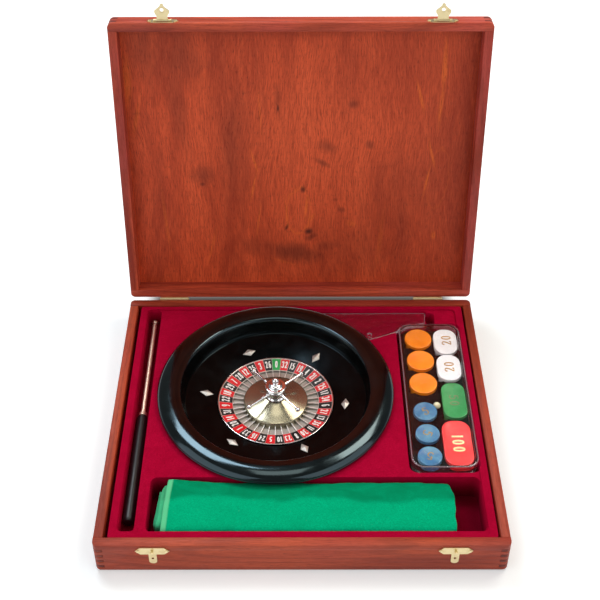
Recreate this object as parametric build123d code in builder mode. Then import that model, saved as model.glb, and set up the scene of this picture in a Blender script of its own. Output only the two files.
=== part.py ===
"""Roulette set in a hinged wooden case.

Millimetres. The origin is the middle of the case's underside, +X to the right,
+Y to the hinges, +Z up. The lid is built in its own plane, so one angle opens it.
"""
from build123d import *
import math
import os

os.makedirs("parts", exist_ok=True)

# ---- boards and panels ----
board_t = 9.0
panel_t = 4.0
rabbet_w = 4.5
corner_r = 5.0
edge_r = 3.5
glue_line = 0.05
finger_h = 4.0
lid_h = 21.0
rim_gap = 0.4
lid_open = 97.89

# ---- wheel ----
bowl_r = 105.0
rim_overhang = 19.5
rim_r = bowl_r + rim_overhang
rim_t = 4.4
foot_w = 8.0
foot_step = 3.0
apron_edge = 9.5
apron_out_r = bowl_r - apron_edge
pockets = 37
ring_out_r = 60.3
ring_in_r = 45.7
ring_t = 1.6
rotor_rim_t = 1.2
rotor_rim_r = ring_out_r + rotor_rim_t
pan_play = 0.8
pan_r = rotor_rim_r + pan_play
diamond_r = pan_r + 11.7
diamond_long = 15.5
diamond_wide = 9.0
diamond_rise = 2.6
diamond_turn = -6.0
spindle_r = 4.0
spindle_play = 0.05
cone_r = 34.1
cone_top_r = 10.6
fret_t = 0.8
bush_r = 5.0
arm_turn = 40.6
arm_tip_r = 33.5
arm_rod_r = 1.3
arm_ball_r = 2.6
finial_r = 3.65

# ---- chips, plaques and the box round them ----
chip_t = 3.1
chips_high = 4
chip_top = 34.0
chip_gap = 0.02
chip_play = 0.35
orange_r = 14.75
orange_gaps = [3.05, 3.7, 3.9]
blue_r = 12.25
blue_gaps = [12.5, 5.4, 4.9]
blue_insets = [7.75, 7.55, 7.25]
front_gap = 6.15
white_size = (25.6, 37.6, 11.6)
green_size = (24.8, 48.6, 10.5)
red_size = (29.2, 58.0, 12.0)
plaque_gaps = [3.4, 1.8, 4.3, 3.9]
plaque_front_gap = 6.4
plaque_insets = [3.2, 3.0, 3.4]
orange_inset = 6.65
middle_gaps = [2.05, 2.65]
ball_r = 4.0
ball_turn = 38.5
ball_gap = 0.62
ball_z = 30.0
box_w = max(
    orange_inset + 2 * orange_r + middle_gaps[0] + white_size[0] + plaque_insets[0],
    blue_insets[2] + 2 * blue_r + middle_gaps[1] + red_size[0] + plaque_insets[2],
)
box_l = max(
    sum(orange_gaps) + 6 * orange_r + sum(blue_gaps) + 6 * blue_r + front_gap,
    sum(plaque_gaps) + 2 * white_size[1] + green_size[1] + red_size[1] + plaque_front_gap,
)
box_r = 13.0
box_wall = 1.2

# ---- game cloth, folded and rolled ----
cloth_l = 282.0
cloth_core = 6.5
cloth_d = 59.8
cloth_h = 26.0
cloth_layer = 5.0

# ---- rake ----
handle_r = 5.8
handle_l = 134.5
ferrule_l = 5.5
tube_r = 2.55
tube_l = 134.8
middle_r = 2.0
tip_rod_r = 1.45
tip_l = 8.5
slide_play = 0.1
head_t = 3.0
head_half = [(64.9, 0.0), (62.8, 17.3), (43.7, 20.9), (35.5, 24.5), (30.7, 30.8), (7.6, 40.3)]
head_apex = 42.7
head_hole_in = 34.7
head_hole_r = 2.75

# ---- flocked tray: its wells follow from what lies in them ----
tray_t = 2.0
tray_lift = 0.3
tray_z = panel_t + tray_lift
deck_z = 36.5
border_rise = 2.0
tray_margin = 8.2
channel_w = 15.3
channel_ends = [9.2, 5.2]
channel_gap = 6.3
rake_ends = [19.2, 2.0]
box_gap = 8.8
box_play = [2.6, 1.1]
box_end_play = [4.2, 3.9]
right_margin = 5.7
trough_left = 10.5
trough_right = 8.5
cloth_start = 12.0
hand_room = 27.5
cloth_play = [2.3, 1.9]
trough_wall = 5.3
rim_over_trough = 11.5
back_margin = 3.7
behind_box = 26.2
head_back = 7.4
recess_floor = 31.9
recess_play = 1.5
well_play = 1.5
well_r = bowl_r + well_play
well_floor = 7.0

well_w = box_play[0] + box_w + box_play[1]
well_l = box_end_play[0] + box_l + box_end_play[1]
trough_d = cloth_play[0] + cloth_d + cloth_play[1]
rake_l = handle_l + tube_l + tip_l
tray_w = max(
    tray_margin + channel_w + channel_gap + 2 * rim_r + box_gap + well_w + right_margin,
    tray_margin + channel_w + trough_left + cloth_start + cloth_l + hand_room + trough_right,
)
tray_d = max(
    tray_margin + trough_d - rim_over_trough + 2 * rim_r + back_margin,
    tray_margin + trough_d + trough_wall + well_l + behind_box,
    sum(channel_ends) + sum(rake_ends) + rake_l,
)

# ---- case: boards round the tray ----
tray_side_play = [4.0, 2.0]
tray_end_play = 0.3
case_w = tray_w + sum(tray_side_play) + 2 * board_t
case_d = tray_d + 2 * tray_end_play + 2 * board_t
rim_over_tray = 1.5
base_h = deck_z + border_rise + rim_over_tray
base_fingers = [base_h * k / 5 for k in (1, 2, 3, 4)]
lid_fingers = [lid_h * 0.3, lid_h * 0.7]

# ---- places in the tray ----
tray_left = -case_w / 2 + board_t + tray_side_play[0]
tray_x = [tray_left, tray_left + tray_w]
tray_half_d = tray_d / 2
border_in = [tray_x[0] + 7.4, tray_x[1] - 7.8, -tray_half_d + 7.7, tray_half_d - 4.7]
channel_x = tray_left + tray_margin
channel = [channel_x, channel_x + channel_w, -tray_half_d + channel_ends[0],
           tray_half_d - channel_ends[1], 4.0, 15.9]
trough_y = -tray_half_d + tray_margin
trough = [channel[1] + trough_left, tray_x[1] - trough_right, trough_y, trough_y + trough_d, 7.0,
          well_floor]
wheel_x = channel[1] + channel_gap + rim_r
wheel_y = trough[3] - rim_over_trough + rim_r
chip_well_x = wheel_x + rim_r + box_gap
chip_well_y = trough[3] + trough_wall
chip_well = [chip_well_x, chip_well_x + well_w, chip_well_y, chip_well_y + well_l, 9.0, well_floor]
box_c = (chip_well_x + box_play[0] + box_w / 2, chip_well_y + box_end_play[0] + box_l / 2)
finger_well = [box_c[0] - 1.2, box_c[0] + 8.3, chip_well[3] - 4.0, tray_half_d - 9.2, 3.0, 22.0]
cloth_x = [trough[0] + cloth_start, trough[0] + cloth_start + cloth_l]
cloth_y = [trough_y + cloth_play[0], trough_y + cloth_play[0] + cloth_d]
cloth_z = [well_floor + 0.4, well_floor + 0.4 + cloth_h]
cloth_core_x = cloth_x[0] - cloth_core

# ---- heights of the wheel, from its rim's seat on the deck ----
rim_seat_z = deck_z + 0.3
rim_under_z = rim_seat_z + 1.6
rim_top_z = rim_seat_z + 11.6
pan_z = rim_seat_z - 23.3
foot_z = pan_z - 4.5
apron_in_z = pan_z + 9.5
apron_out_z = pan_z + 16.1
rotor_z = pan_z + 0.7
rotor_deck_z = rotor_z + 2.2
ring_in_z = rotor_z + 6.2
ring_out_z = rotor_z + 9.3
cone_z = rotor_z + 9.2
cone_top_z = rotor_z + 16.1
arm_z = cone_top_z + 8.2
finial_z = cone_top_z + 21.7

# ---- places of the rake ----
rake_x = channel_x + 6.8
rake_z = 22.0
handle_y = [channel[2] + rake_ends[0], channel[2] + rake_ends[0] + handle_l]
ferrule_end_y = handle_y[1] + ferrule_l
tube_end_y = handle_y[1] + tube_l
tip_end_y = tube_end_y + tip_l
head_z = recess_floor + 0.4
head_mid_x = wheel_x + rim_r - 21.0
head_back_y = tray_half_d - head_back
head_hole = (head_mid_x, head_back_y - head_hole_in)

# ---- places in the chip box ----
box_z = well_floor + 0.3
box_h = 32.7
box_top = box_z + box_h
skirt_z = box_top - 10.5
insert_top = chip_top - 3.5
box_left, box_right = box_c[0] - box_w / 2, box_c[0] + box_w / 2
box_back = box_c[1] + box_l / 2


def column(start, gaps, lengths):
    """Middles of pieces of these lengths, set one after another towards the front."""
    middles, edge = [], start
    for gap, length in zip(gaps, lengths):
        middles.append(edge - gap - length / 2)
        edge -= gap + length
    return middles, edge


orange_y, orange_end = column(box_back, orange_gaps, [2 * orange_r] * 3)
blue_y, blue_end = column(orange_end, blue_gaps, [2 * blue_r] * 3)
plaque_y, plaque_end = column(box_back, plaque_gaps,
                              [white_size[1], white_size[1], green_size[1], red_size[1]])
orange_at = [(box_left + orange_inset + orange_r, y) for y in orange_y]
blue_at = [(box_left + inset + blue_r, y) for inset, y in zip(blue_insets, blue_y)]
white_at = [(box_right - plaque_insets[0] - white_size[0] / 2, y) for y in plaque_y[:2]]
green_at = [(box_right - plaque_insets[1] - green_size[0] / 2, plaque_y[2])]
red_at = [(box_right - plaque_insets[2] - red_size[0] / 2, plaque_y[3])]
ball_way = math.radians(ball_turn)
ball_at = (blue_at[0][0] + (blue_r + ball_r + ball_gap) * math.cos(ball_way),
           blue_at[0][1] + (blue_r + ball_r + ball_gap) * math.sin(ball_way), ball_z)

# ---- hinges on the back ----
pin_offset = 2.3
hinge_insets = [49.5, 47.9]
hinge_x = [-case_w / 2 + hinge_insets[0], case_w / 2 - hinge_insets[1]]
hinge_len = 31.0
knuckle_r = 2.2
hinge_pin_r = 0.9
pin_play = 0.05
leaf_t = 1.0
leaf_reach = 12.0
knuckle_gap = 0.2
hinge_screw_span = 20.0

# ---- catches and hasps on the front ----
fitting_insets = [55.5, 51.5]
fitting_x = [-case_w / 2 + fitting_insets[0], case_w / 2 - fitting_insets[1]]
plate_t = 1.0
plate_len = 22.0
plate_tip = 16.0
catch_z = base_h - 7.2
catch_h = 9.4
tab_w = 7.4
tab_end_z = base_h - 25.8
tab_hole_z = base_h - 18.0
stud_r = 1.3
stud_rise = 2.8
hasp_axis_z = 3.4
hasp_rise = 1.9
hasp_plate_h = 8.2
hasp_barrel_r = 1.4
hasp_pin_r = 0.7
leaf_thick = 1.0
leaf_neck_w = 11.4
leaf_wide = 15.0
leaf_hole_at = 11.0
leaf_hole_r = 1.9
leaf_ball_at = 15.7
leaf_ball_r = 1.8
nail_r = 0.8
nail_head_r = 1.7
nail_depth = 5.0
nail_span = 26.4

pin_y = case_d / 2 + pin_offset
lid_plane = Plane(
    origin=(0, pin_y, base_h),
    x_dir=(1, 0, 0),
    z_dir=(0, math.sin(math.radians(lid_open)), math.cos(math.radians(lid_open))),
)
lid_mid_y = -pin_offset - case_d / 2
lid_front_y = -pin_offset - case_d
front_face = Plane(origin=(0, -case_d / 2, 0), x_dir=(1, 0, 0), z_dir=(0, -1, 0))
back_face = Plane(origin=(0, case_d / 2, 0), x_dir=(-1, 0, 0), z_dir=(0, 1, 0))
lid_front = Plane(
    origin=lid_plane.from_local_coords(Vector(0, lid_front_y, 0)),
    x_dir=(1, 0, 0),
    z_dir=lid_plane.y_dir * -1,
)
lid_back = Plane(
    origin=lid_plane.from_local_coords(Vector(0, -pin_offset, 0)),
    x_dir=(-1, 0, 0),
    z_dir=lid_plane.y_dir,
)
wheel_section = Plane(origin=(wheel_x, wheel_y, 0), x_dir=(1, 0, 0), z_dir=(0, -1, 0))
turning = Axis((wheel_x, wheel_y, 0), (0, 0, 1))

# screw and nail places on the four faces, as (x, height) on each face
catch_nails = [(x + s * nail_span / 2, catch_z) for x in fitting_x for s in (-1, 1)]
hasp_nails = [(x + s * nail_span / 2, rim_gap + 1.0 + hasp_plate_h / 2) for x in fitting_x for s in (-1, 1)]
base_screws = [(-x + s * hinge_screw_span / 2, base_h - 8.0) for x in hinge_x for s in (-1, 1)]
lid_screws = [(-x + s * hinge_screw_span / 2, 8.0) for x in hinge_x for s in (-1, 1)]


def board_block(size, at):
    """A box by its middle, in the active plane."""
    with Locations(at):
        Box(*size)


def finger_slots(y, z0, heights):
    """Slots at both ends of a front or back board for the side boards' fingers."""
    for h in heights:
        for side in (-1, 1):
            with Locations((side * (case_w - board_t) / 2, y, z0 + h)):
                Box(board_t + 0.2, board_t + 0.2, finger_h + 2 * glue_line, mode=Mode.SUBTRACT)


def side_board(x, mid_y, z0, height, heights):
    """A side board with its fingers at both ends."""
    board_block((board_t, case_d - 2 * board_t - 2 * glue_line, height), (x, mid_y, z0 + height / 2))
    for h in heights:
        for side in (-1, 1):
            board_block(
                (board_t, board_t + 2 * glue_line, finger_h),
                (x, mid_y + side * (case_d - board_t) / 2, z0 + h),
            )


def rabbet(mid_y, z0):
    """The step that takes the bottom or top panel."""
    with Locations((0, mid_y, z0)):
        Box(case_w - 2 * rabbet_w, case_d - 2 * rabbet_w, panel_t, mode=Mode.SUBTRACT)


def nail_holes(face, places, grow=0.05):
    """Pilot holes drilled into a face."""
    with BuildSketch(face) as holes:
        with Locations(*places):
            Circle(nail_r + grow)
    extrude(holes.sketch, amount=-nail_depth, mode=Mode.SUBTRACT)


def nails(face, places, head_rise, lift):
    """Round-headed nails with their shanks in the board."""
    with BuildSketch(face.offset(lift)) as heads:
        with Locations(*places):
            Circle(nail_head_r)
    extrude(heads.sketch, amount=head_rise, taper=20)
    with BuildSketch(face.offset(lift)) as shanks:
        with Locations(*places):
            Circle(nail_r)
    extrude(shanks.sketch, amount=-nail_depth)


def rounded_case(mid_y, z0, height):
    """The block that a half case is cut from, before its edges are rounded."""
    with Locations((0, mid_y, z0 + height / 2)):
        Box(case_w, case_d, height)


# ---- base of the case ----
with BuildPart() as base_shape:
    rounded_case(0, 0, base_h)
    fillet(base_shape.edges().filter_by(Axis.Z), corner_r)
    fillet(base_shape.faces().sort_by(Axis.Z)[0].edges(), edge_r)

with BuildPart() as base_front_board:
    board_block((case_w, board_t, base_h), (0, -(case_d - board_t) / 2, base_h / 2))
    finger_slots(-(case_d - board_t) / 2, 0, base_fingers)
    rabbet(0, panel_t / 2)
    nail_holes(front_face, catch_nails)
    add(base_shape.part, mode=Mode.INTERSECT)

with BuildPart() as base_back_board:
    board_block((case_w, board_t, base_h), (0, (case_d - board_t) / 2, base_h / 2))
    finger_slots((case_d - board_t) / 2, 0, base_fingers)
    rabbet(0, panel_t / 2)
    nail_holes(back_face, base_screws)
    add(base_shape.part, mode=Mode.INTERSECT)

with BuildPart() as base_left_board:
    side_board(-(case_w - board_t) / 2, 0, 0, base_h, base_fingers)
    rabbet(0, panel_t / 2)
    add(base_shape.part, mode=Mode.INTERSECT)

with BuildPart() as base_right_board:
    side_board((case_w - board_t) / 2, 0, 0, base_h, base_fingers)
    rabbet(0, panel_t / 2)
    add(base_shape.part, mode=Mode.INTERSECT)

with BuildPart() as base_bottom_panel:
    with Locations((0, 0, (panel_t - glue_line) / 2)):
        Box(case_w - 2 * rabbet_w - 2 * glue_line, case_d - 2 * rabbet_w - 2 * glue_line,
            panel_t - glue_line)

# ---- lid of the case, open ----
with BuildPart() as lid_shape:
    rounded_case(lid_mid_y, rim_gap, lid_h)
    fillet(lid_shape.edges().filter_by(Axis.Z), corner_r)
    fillet(lid_shape.faces().sort_by(Axis.Z)[-1].edges(), edge_r)

with BuildPart(lid_plane) as lid_front_board:
    y = lid_mid_y - (case_d - board_t) / 2
    board_block((case_w, board_t, lid_h), (0, y, rim_gap + lid_h / 2))
    finger_slots(y, rim_gap, lid_fingers)
    rabbet(lid_mid_y, rim_gap + lid_h - panel_t / 2)
    nail_holes(lid_front, hasp_nails)
    add(lid_shape.part, mode=Mode.INTERSECT)

with BuildPart(lid_plane) as lid_back_board:
    y = lid_mid_y + (case_d - board_t) / 2
    board_block((case_w, board_t, lid_h), (0, y, rim_gap + lid_h / 2))
    finger_slots(y, rim_gap, lid_fingers)
    rabbet(lid_mid_y, rim_gap + lid_h - panel_t / 2)
    nail_holes(lid_back, lid_screws)
    add(lid_shape.part, mode=Mode.INTERSECT)

with BuildPart(lid_plane) as lid_left_board:
    side_board(-(case_w - board_t) / 2, lid_mid_y, rim_gap, lid_h, lid_fingers)
    rabbet(lid_mid_y, rim_gap + lid_h - panel_t / 2)
    add(lid_shape.part, mode=Mode.INTERSECT)

with BuildPart(lid_plane) as lid_right_board:
    side_board((case_w - board_t) / 2, lid_mid_y, rim_gap, lid_h, lid_fingers)
    rabbet(lid_mid_y, rim_gap + lid_h - panel_t / 2)
    add(lid_shape.part, mode=Mode.INTERSECT)

with BuildPart(lid_plane) as lid_panel:
    with Locations((0, lid_mid_y, rim_gap + lid_h - (panel_t - glue_line) / 2)):
        Box(case_w - 2 * rabbet_w - 2 * glue_line, case_d - 2 * rabbet_w - 2 * glue_line,
            panel_t - glue_line)

# ---- hinges: five knuckles, three on the base leaf and two on the lid leaf ----
knuckle = hinge_len / 5


def hinge_leaf(face_y, turns, way):
    """One leaf: plate, webs and bored knuckles; way is -1 below the pin and +1 above it."""
    for x in hinge_x:
        board_block(
            (hinge_len, leaf_t, leaf_reach - knuckle_r - 0.4),
            (x, face_y + leaf_t / 2, way * (leaf_reach + knuckle_r + 0.4) / 2),
        )
        for i in turns:
            kx = x + (i - 2) * knuckle
            board_block((knuckle - knuckle_gap, leaf_t, knuckle_r + 0.4),
                        (kx, face_y + leaf_t / 2, way * (knuckle_r + 0.4) / 2))
            with Locations((kx, face_y + pin_offset, 0)):
                Cylinder(knuckle_r, knuckle - knuckle_gap, rotation=(0, 90, 0))
    for x in hinge_x:
        with Locations((x, face_y + pin_offset, 0)):
            Cylinder(hinge_pin_r + pin_play, hinge_len + 2, rotation=(0, 90, 0),
                     mode=Mode.SUBTRACT)


with BuildPart(Plane((0, 0, base_h))) as hinge_leaves_base:
    hinge_leaf(case_d / 2, (0, 2, 4), -1)
    nail_holes(back_face.offset(leaf_t), base_screws)

with BuildPart(lid_plane) as hinge_leaves_lid:
    hinge_leaf(-pin_offset, (1, 3), 1)
    nail_holes(lid_back.offset(leaf_t), lid_screws)

with BuildPart() as hinge_pins:
    with Locations(*[(x, pin_y, base_h) for x in hinge_x]):
        Cylinder(hinge_pin_r, hinge_len + 1.0, rotation=(0, 90, 0))
    with Locations(*[(x + s * (hinge_len / 2 + 0.7), pin_y, base_h) for x in hinge_x
                     for s in (-1, 1)]):
        Cylinder(1.6, 1.2, rotation=(0, 90, 0))

with BuildPart() as hinge_screws_base:
    nails(back_face, base_screws, 0.8, leaf_t)

with BuildPart() as hinge_screws_lid:
    nails(lid_back, lid_screws, 0.8, leaf_t)


# ---- catch plates and hasps ----
def bar_outline(x, z, height):
    """A bar with a diamond at each end."""
    with Locations((x, z)):
        Rectangle(plate_len, height)
    with Locations(*[(x + s * (plate_tip - height / 2), z) for s in (-1, 1)]):
        Rectangle(height / math.sqrt(2), height / math.sqrt(2), rotation=45)


def catch_plate(x):
    """A bar with a rounded tab below it and the stud that takes the leaf."""
    with BuildSketch(front_face) as outline:
        bar_outline(x, catch_z, catch_h)
        with Locations((x, (catch_z + tab_end_z) / 2)):
            RectangleRounded(tab_w, catch_z - tab_end_z, tab_w / 2 - 0.05)
        with Locations((x, tab_hole_z)):
            Circle(1.25, mode=Mode.SUBTRACT)
        with Locations(*[p for p in catch_nails if abs(p[0] - x) < 20]):
            Circle(nail_r + 0.05, mode=Mode.SUBTRACT)
    extrude(outline.sketch, amount=plate_t)
    with BuildSketch(front_face.offset(plate_t)) as stud:
        with Locations((x, catch_z)):
            Circle(stud_r)
    extrude(stud.sketch, amount=stud_rise)


def hasp_plate(x):
    """A bar with two barrels, on the lid's front face."""
    with BuildSketch(lid_front) as outline:
        bar_outline(x, rim_gap + 1.0 + hasp_plate_h / 2, hasp_plate_h)
        with Locations(*[p for p in hasp_nails if abs(p[0] - x) < 20]):
            Circle(nail_r + 0.05, mode=Mode.SUBTRACT)
    extrude(outline.sketch, amount=plate_t - 0.2)
    with Locations((x, lid_front_y, rim_gap + hasp_axis_z)):
        Box(leaf_neck_w + 0.4, 4.0, 2 * hasp_barrel_r + 0.8, mode=Mode.SUBTRACT)
    with Locations(*[(x + s * (leaf_neck_w / 2 + 1.9), lid_front_y - hasp_rise,
                      rim_gap + hasp_axis_z) for s in (-1, 1)]):
        Cylinder(hasp_barrel_r, 3.2, rotation=(0, 90, 0))
    with Locations((x, lid_front_y - hasp_rise, rim_gap + hasp_axis_z)):
        Cylinder(hasp_pin_r + pin_play, 30, rotation=(0, 90, 0), mode=Mode.SUBTRACT)


def hasp_leaf(x):
    """The swinging leaf: barrel, waisted plate, ring and ball tip."""
    y0 = lid_front_y - hasp_rise
    half = [(leaf_neck_w / 2, 0), (leaf_neck_w / 2 - 0.3, 4.4), (leaf_wide / 2, 8.0),
            (leaf_wide / 2, 10.2), (1.6, 15.2)]
    outline = half + [(-px, py) for px, py in reversed(half)]
    with BuildSketch(lid_plane.offset(rim_gap + hasp_axis_z - leaf_thick / 2)) as leaf:
        with BuildLine():
            Polyline(*[(x + px, y0 - py) for px, py in outline], close=True)
        make_face()
        with Locations((x, y0 - leaf_ball_at)):
            Circle(leaf_ball_r)
        with Locations((x, y0 - leaf_hole_at)):
            Circle(leaf_hole_r, mode=Mode.SUBTRACT)
    extrude(leaf.sketch, amount=leaf_thick)
    with Locations((x, y0 - leaf_hole_at, rim_gap + hasp_axis_z)):
        Torus(leaf_hole_r + 0.7, 0.65)
    with Locations((x, y0, rim_gap + hasp_axis_z)):
        Cylinder(hasp_barrel_r, leaf_neck_w, rotation=(0, 90, 0))
        Cylinder(hasp_pin_r + pin_play, 30, rotation=(0, 90, 0), mode=Mode.SUBTRACT)


with BuildPart() as catch_plate_left:
    catch_plate(fitting_x[0])

with BuildPart() as catch_plate_right:
    catch_plate(fitting_x[1])

with BuildPart() as catch_nails_group:
    nails(front_face, catch_nails, 0.9, plate_t)

with BuildPart(lid_plane) as hasp_plate_left:
    hasp_plate(fitting_x[0])

with BuildPart(lid_plane) as hasp_plate_right:
    hasp_plate(fitting_x[1])

with BuildPart() as hasp_nails_group:
    nails(lid_front, hasp_nails, 0.9, plate_t - 0.2)

with BuildPart(lid_plane) as hasp_pins:
    with Locations(*[(x, lid_front_y - hasp_rise, rim_gap + hasp_axis_z) for x in fitting_x]):
        Cylinder(hasp_pin_r, leaf_neck_w + 7.0, rotation=(0, 90, 0))

with BuildPart(lid_plane) as hasp_leaf_left:
    hasp_leaf(fitting_x[0])

with BuildPart(lid_plane) as hasp_leaf_right:
    hasp_leaf(fitting_x[1])


# ---- tray ----
def rounded(bounds, radius, grow=0.0):
    """A rounded rectangle by its limits in the active sketch."""
    x0, x1, y0, y1 = bounds
    with Locations(((x0 + x1) / 2, (y0 + y1) / 2)):
        RectangleRounded(x1 - x0 + 2 * grow, y1 - y0 + 2 * grow, max(radius + grow, 0.5))


def round_well(grow):
    with Locations((wheel_x, wheel_y)):
        Circle(well_r + grow)


def head_outline(grow, radius):
    """The rake head's outline, or the recess around it."""
    points = [(head_mid_x + px, head_back_y - py) for px, py in head_half]
    points += [(head_mid_x, head_back_y - head_apex)]
    points += [(head_mid_x - px, head_back_y - py) for px, py in reversed(head_half)]
    with BuildLine() as edge:
        Polyline(*points, close=True)
    make_face(edge.edges())
    if grow:
        offset(amount=grow, kind=Kind.INTERSECTION)
    fillet(vertices().filter_by(lambda v: True), radius)


def recess(grow):
    with BuildSketch(mode=Mode.PRIVATE) as cut:
        head_outline(recess_play + grow, 3.0)
    add(cut.sketch)


tray_pockets = [
    (lambda grow: rounded(channel[:4], channel[4], grow), channel[5]),
    (lambda grow: rounded(trough[:4], trough[4], grow), trough[5]),
    (lambda grow: rounded(chip_well[:4], chip_well[4], grow), chip_well[5]),
    (lambda grow: rounded(finger_well[:4], finger_well[4], grow), finger_well[5]),
    (round_well, well_floor),
    (recess, recess_floor),
]
tray_bounds = [tray_x[0], tray_x[1], -tray_half_d, tray_half_d]

with BuildPart() as tray_insert:
    with BuildSketch(Plane.XY.offset(tray_z)):
        rounded(tray_bounds, 3.0)
        with Locations(((tray_x[0] + tray_x[1]) / 2, 0)):
            Rectangle(tray_x[1] - tray_x[0] - 2 * tray_t, 2 * (tray_half_d - tray_t),
                      mode=Mode.SUBTRACT)
    extrude(amount=deck_z - tray_z)
    for outline, floor in tray_pockets:
        with BuildSketch(Plane.XY.offset(max(floor - tray_t, tray_z))):
            outline(tray_t)
        extrude(amount=deck_z - max(floor - tray_t, tray_z))
    with BuildSketch(Plane.XY.offset(deck_z - tray_t)):
        rounded(tray_bounds, 3.0)
    extrude(amount=tray_t)
    with BuildSketch(Plane.XY.offset(deck_z)):
        rounded(tray_bounds, 3.0)
    extrude(amount=border_rise)
    with BuildSketch(Plane.XY.offset(deck_z)):
        rounded(border_in, 5.0)
    extrude(amount=border_rise + 1, mode=Mode.SUBTRACT)
    for outline, floor in tray_pockets:
        with BuildSketch(Plane.XY.offset(floor)):
            outline(0.0)
        extrude(amount=base_h, mode=Mode.SUBTRACT)

# ---- wheel bowl ----
rim_inner = (bowl_r - 4.4, rim_seat_z + 5.6)
rim_lip = (rim_r - 1.1, rim_under_z + 1.0)
foot_in_r = bowl_r - foot_step - foot_w
boss_r = pan_r + 5.7

with BuildPart() as wheel_bowl:
    with BuildSketch(wheel_section):
        with BuildLine():
            Polyline((spindle_r + spindle_play, pan_z), (pan_r, pan_z), (pan_r, apron_in_z),
                     (apron_out_r, apron_out_z), (bowl_r - 6.4, rim_seat_z + 4.0), rim_inner)
            Spline(rim_inner, (bowl_r + 3.5, rim_top_z - 2.8), (rim_r - 8.5, rim_top_z),
                   (rim_r - 2.3, rim_top_z - 2.0), (rim_r - 0.1, rim_top_z - 6.0), rim_lip,
                   tangents=[(1, 0.25), (-0.5, -1)])
            Polyline(rim_lip, (rim_r - 2.1, rim_under_z), (rim_r - 2.1, rim_seat_z), (bowl_r, rim_seat_z),
                     (bowl_r, foot_z + 3.0), (bowl_r - foot_step, foot_z), (foot_in_r, foot_z),
                     (foot_in_r - 2.0, foot_z + 13.0), (boss_r + 2.0, pan_z + 3.5), (boss_r, foot_z),
                     (spindle_r + spindle_play, foot_z), (spindle_r + spindle_play, pan_z))
        make_face()
    revolve(axis=turning)

apron_tilt = math.atan2(apron_out_z - apron_in_z, apron_out_r - pan_r)
diamond_z = apron_in_z + (diamond_r - pan_r) * math.tan(apron_tilt)
diamond_planes = []
for i in range(6):
    a = math.radians(diamond_turn + 60 * i)
    along = (math.cos(a), math.sin(a))
    up = (-math.sin(apron_tilt) * along[0], -math.sin(apron_tilt) * along[1],
          math.cos(apron_tilt))
    out = (math.cos(apron_tilt) * along[0], math.cos(apron_tilt) * along[1],
           math.sin(apron_tilt))
    around = (-along[1], along[0], 0)
    diamond_planes.append(
        Plane(origin=(wheel_x + diamond_r * along[0], wheel_y + diamond_r * along[1],
                      diamond_z + 0.12), x_dir=around if i % 2 == 0 else out, z_dir=up))

with BuildPart() as bowl_diamonds:
    for plane in diamond_planes:
        with BuildSketch(plane):
            with BuildLine():
                Polyline((diamond_long / 2, 0), (0, diamond_wide / 2), (-diamond_long / 2, 0),
                         (0, -diamond_wide / 2), close=True)
            make_face()
        extrude(amount=diamond_rise, taper=40)

with BuildPart() as spindle:
    with Locations((wheel_x, wheel_y, foot_z + 0.2)):
        Cylinder(spindle_r, 18.3, align=(Align.CENTER, Align.CENTER, Align.MIN))
    with Locations((wheel_x, wheel_y, pan_z + glue_line)):
        Cylinder(9.0, 0.6, align=(Align.CENTER, Align.CENTER, Align.MIN))

# ---- rotor, all turned about the spindle ----

def turned(points):
    """A closed profile of (radius, height) points, turned about the spindle."""
    with BuildSketch(wheel_section) as profile:
        with BuildLine():
            Polyline(*points, close=True)
        make_face()
    revolve(profile.sketch, axis=turning)


with BuildPart() as rotor_body:
    turned([(bush_r + glue_line, rotor_z), (ring_out_r - 0.1, rotor_z),
            (ring_out_r - 0.1, ring_out_z - ring_t - glue_line),
            (ring_in_r + 0.1, ring_in_z - ring_t - glue_line), (ring_in_r + 0.1, rotor_deck_z),
            (9.0, rotor_deck_z), (9.0, cone_top_z - 1.7), (bush_r + glue_line, cone_top_z - 1.7)])

with BuildPart() as rotor_bush:
    turned([(spindle_r + spindle_play, rotor_z), (bush_r, rotor_z), (bush_r, cone_top_z - 1.9),
            (spindle_r + spindle_play, cone_top_z - 1.9)])

with BuildPart() as rotor_rim:
    turned([(ring_out_r, rotor_z), (rotor_rim_r, rotor_z), (rotor_rim_r, ring_out_z + 0.1),
            (rotor_rim_r - 0.4, ring_out_z + 0.5), (ring_out_r, ring_out_z + 0.3)])

with BuildPart() as number_ring:
    turned([(ring_in_r, ring_in_z - ring_t), (ring_out_r - 0.1, ring_out_z - ring_t),
            (ring_out_r - 0.1, ring_out_z), (ring_in_r, ring_in_z)])

with BuildPart() as pocket_ring:
    turned([(cone_r + 0.1, rotor_deck_z + glue_line), (ring_in_r - 0.1, rotor_deck_z + glue_line),
            (ring_in_r - 0.1, rotor_deck_z + 1.4), (cone_r + 0.1, rotor_deck_z + 1.0)])
    fret_mid = (cone_r + ring_in_r) / 2
    with Locations((wheel_x, wheel_y, rotor_deck_z + 0.6)):
        with PolarLocations(fret_mid, pockets, start_angle=90 + 180 / pockets):
            Box(ring_in_r - cone_r - 0.3, fret_t, ring_in_z - rotor_deck_z - 0.7,
                align=(Align.CENTER, Align.CENTER, Align.MIN))

with BuildPart() as rotor_cone:
    turned([(cone_r, rotor_deck_z + glue_line), (cone_r, cone_z - 0.7), (cone_r - 0.7, cone_z),
            (22.0, cone_top_z - 4.0), (cone_top_r, cone_top_z), (6.0, cone_top_z),
            (6.0, cone_top_z - 1.5), (cone_top_r - 0.6, cone_top_z - 1.6), (21.0, cone_top_z - 5.7),
            (cone_r - 1.6, cone_z - 1.6), (cone_r - 1.6, rotor_deck_z + glue_line)])

column_h = 13.1
cap_z = cone_top_z + column_h + glue_line

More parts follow.
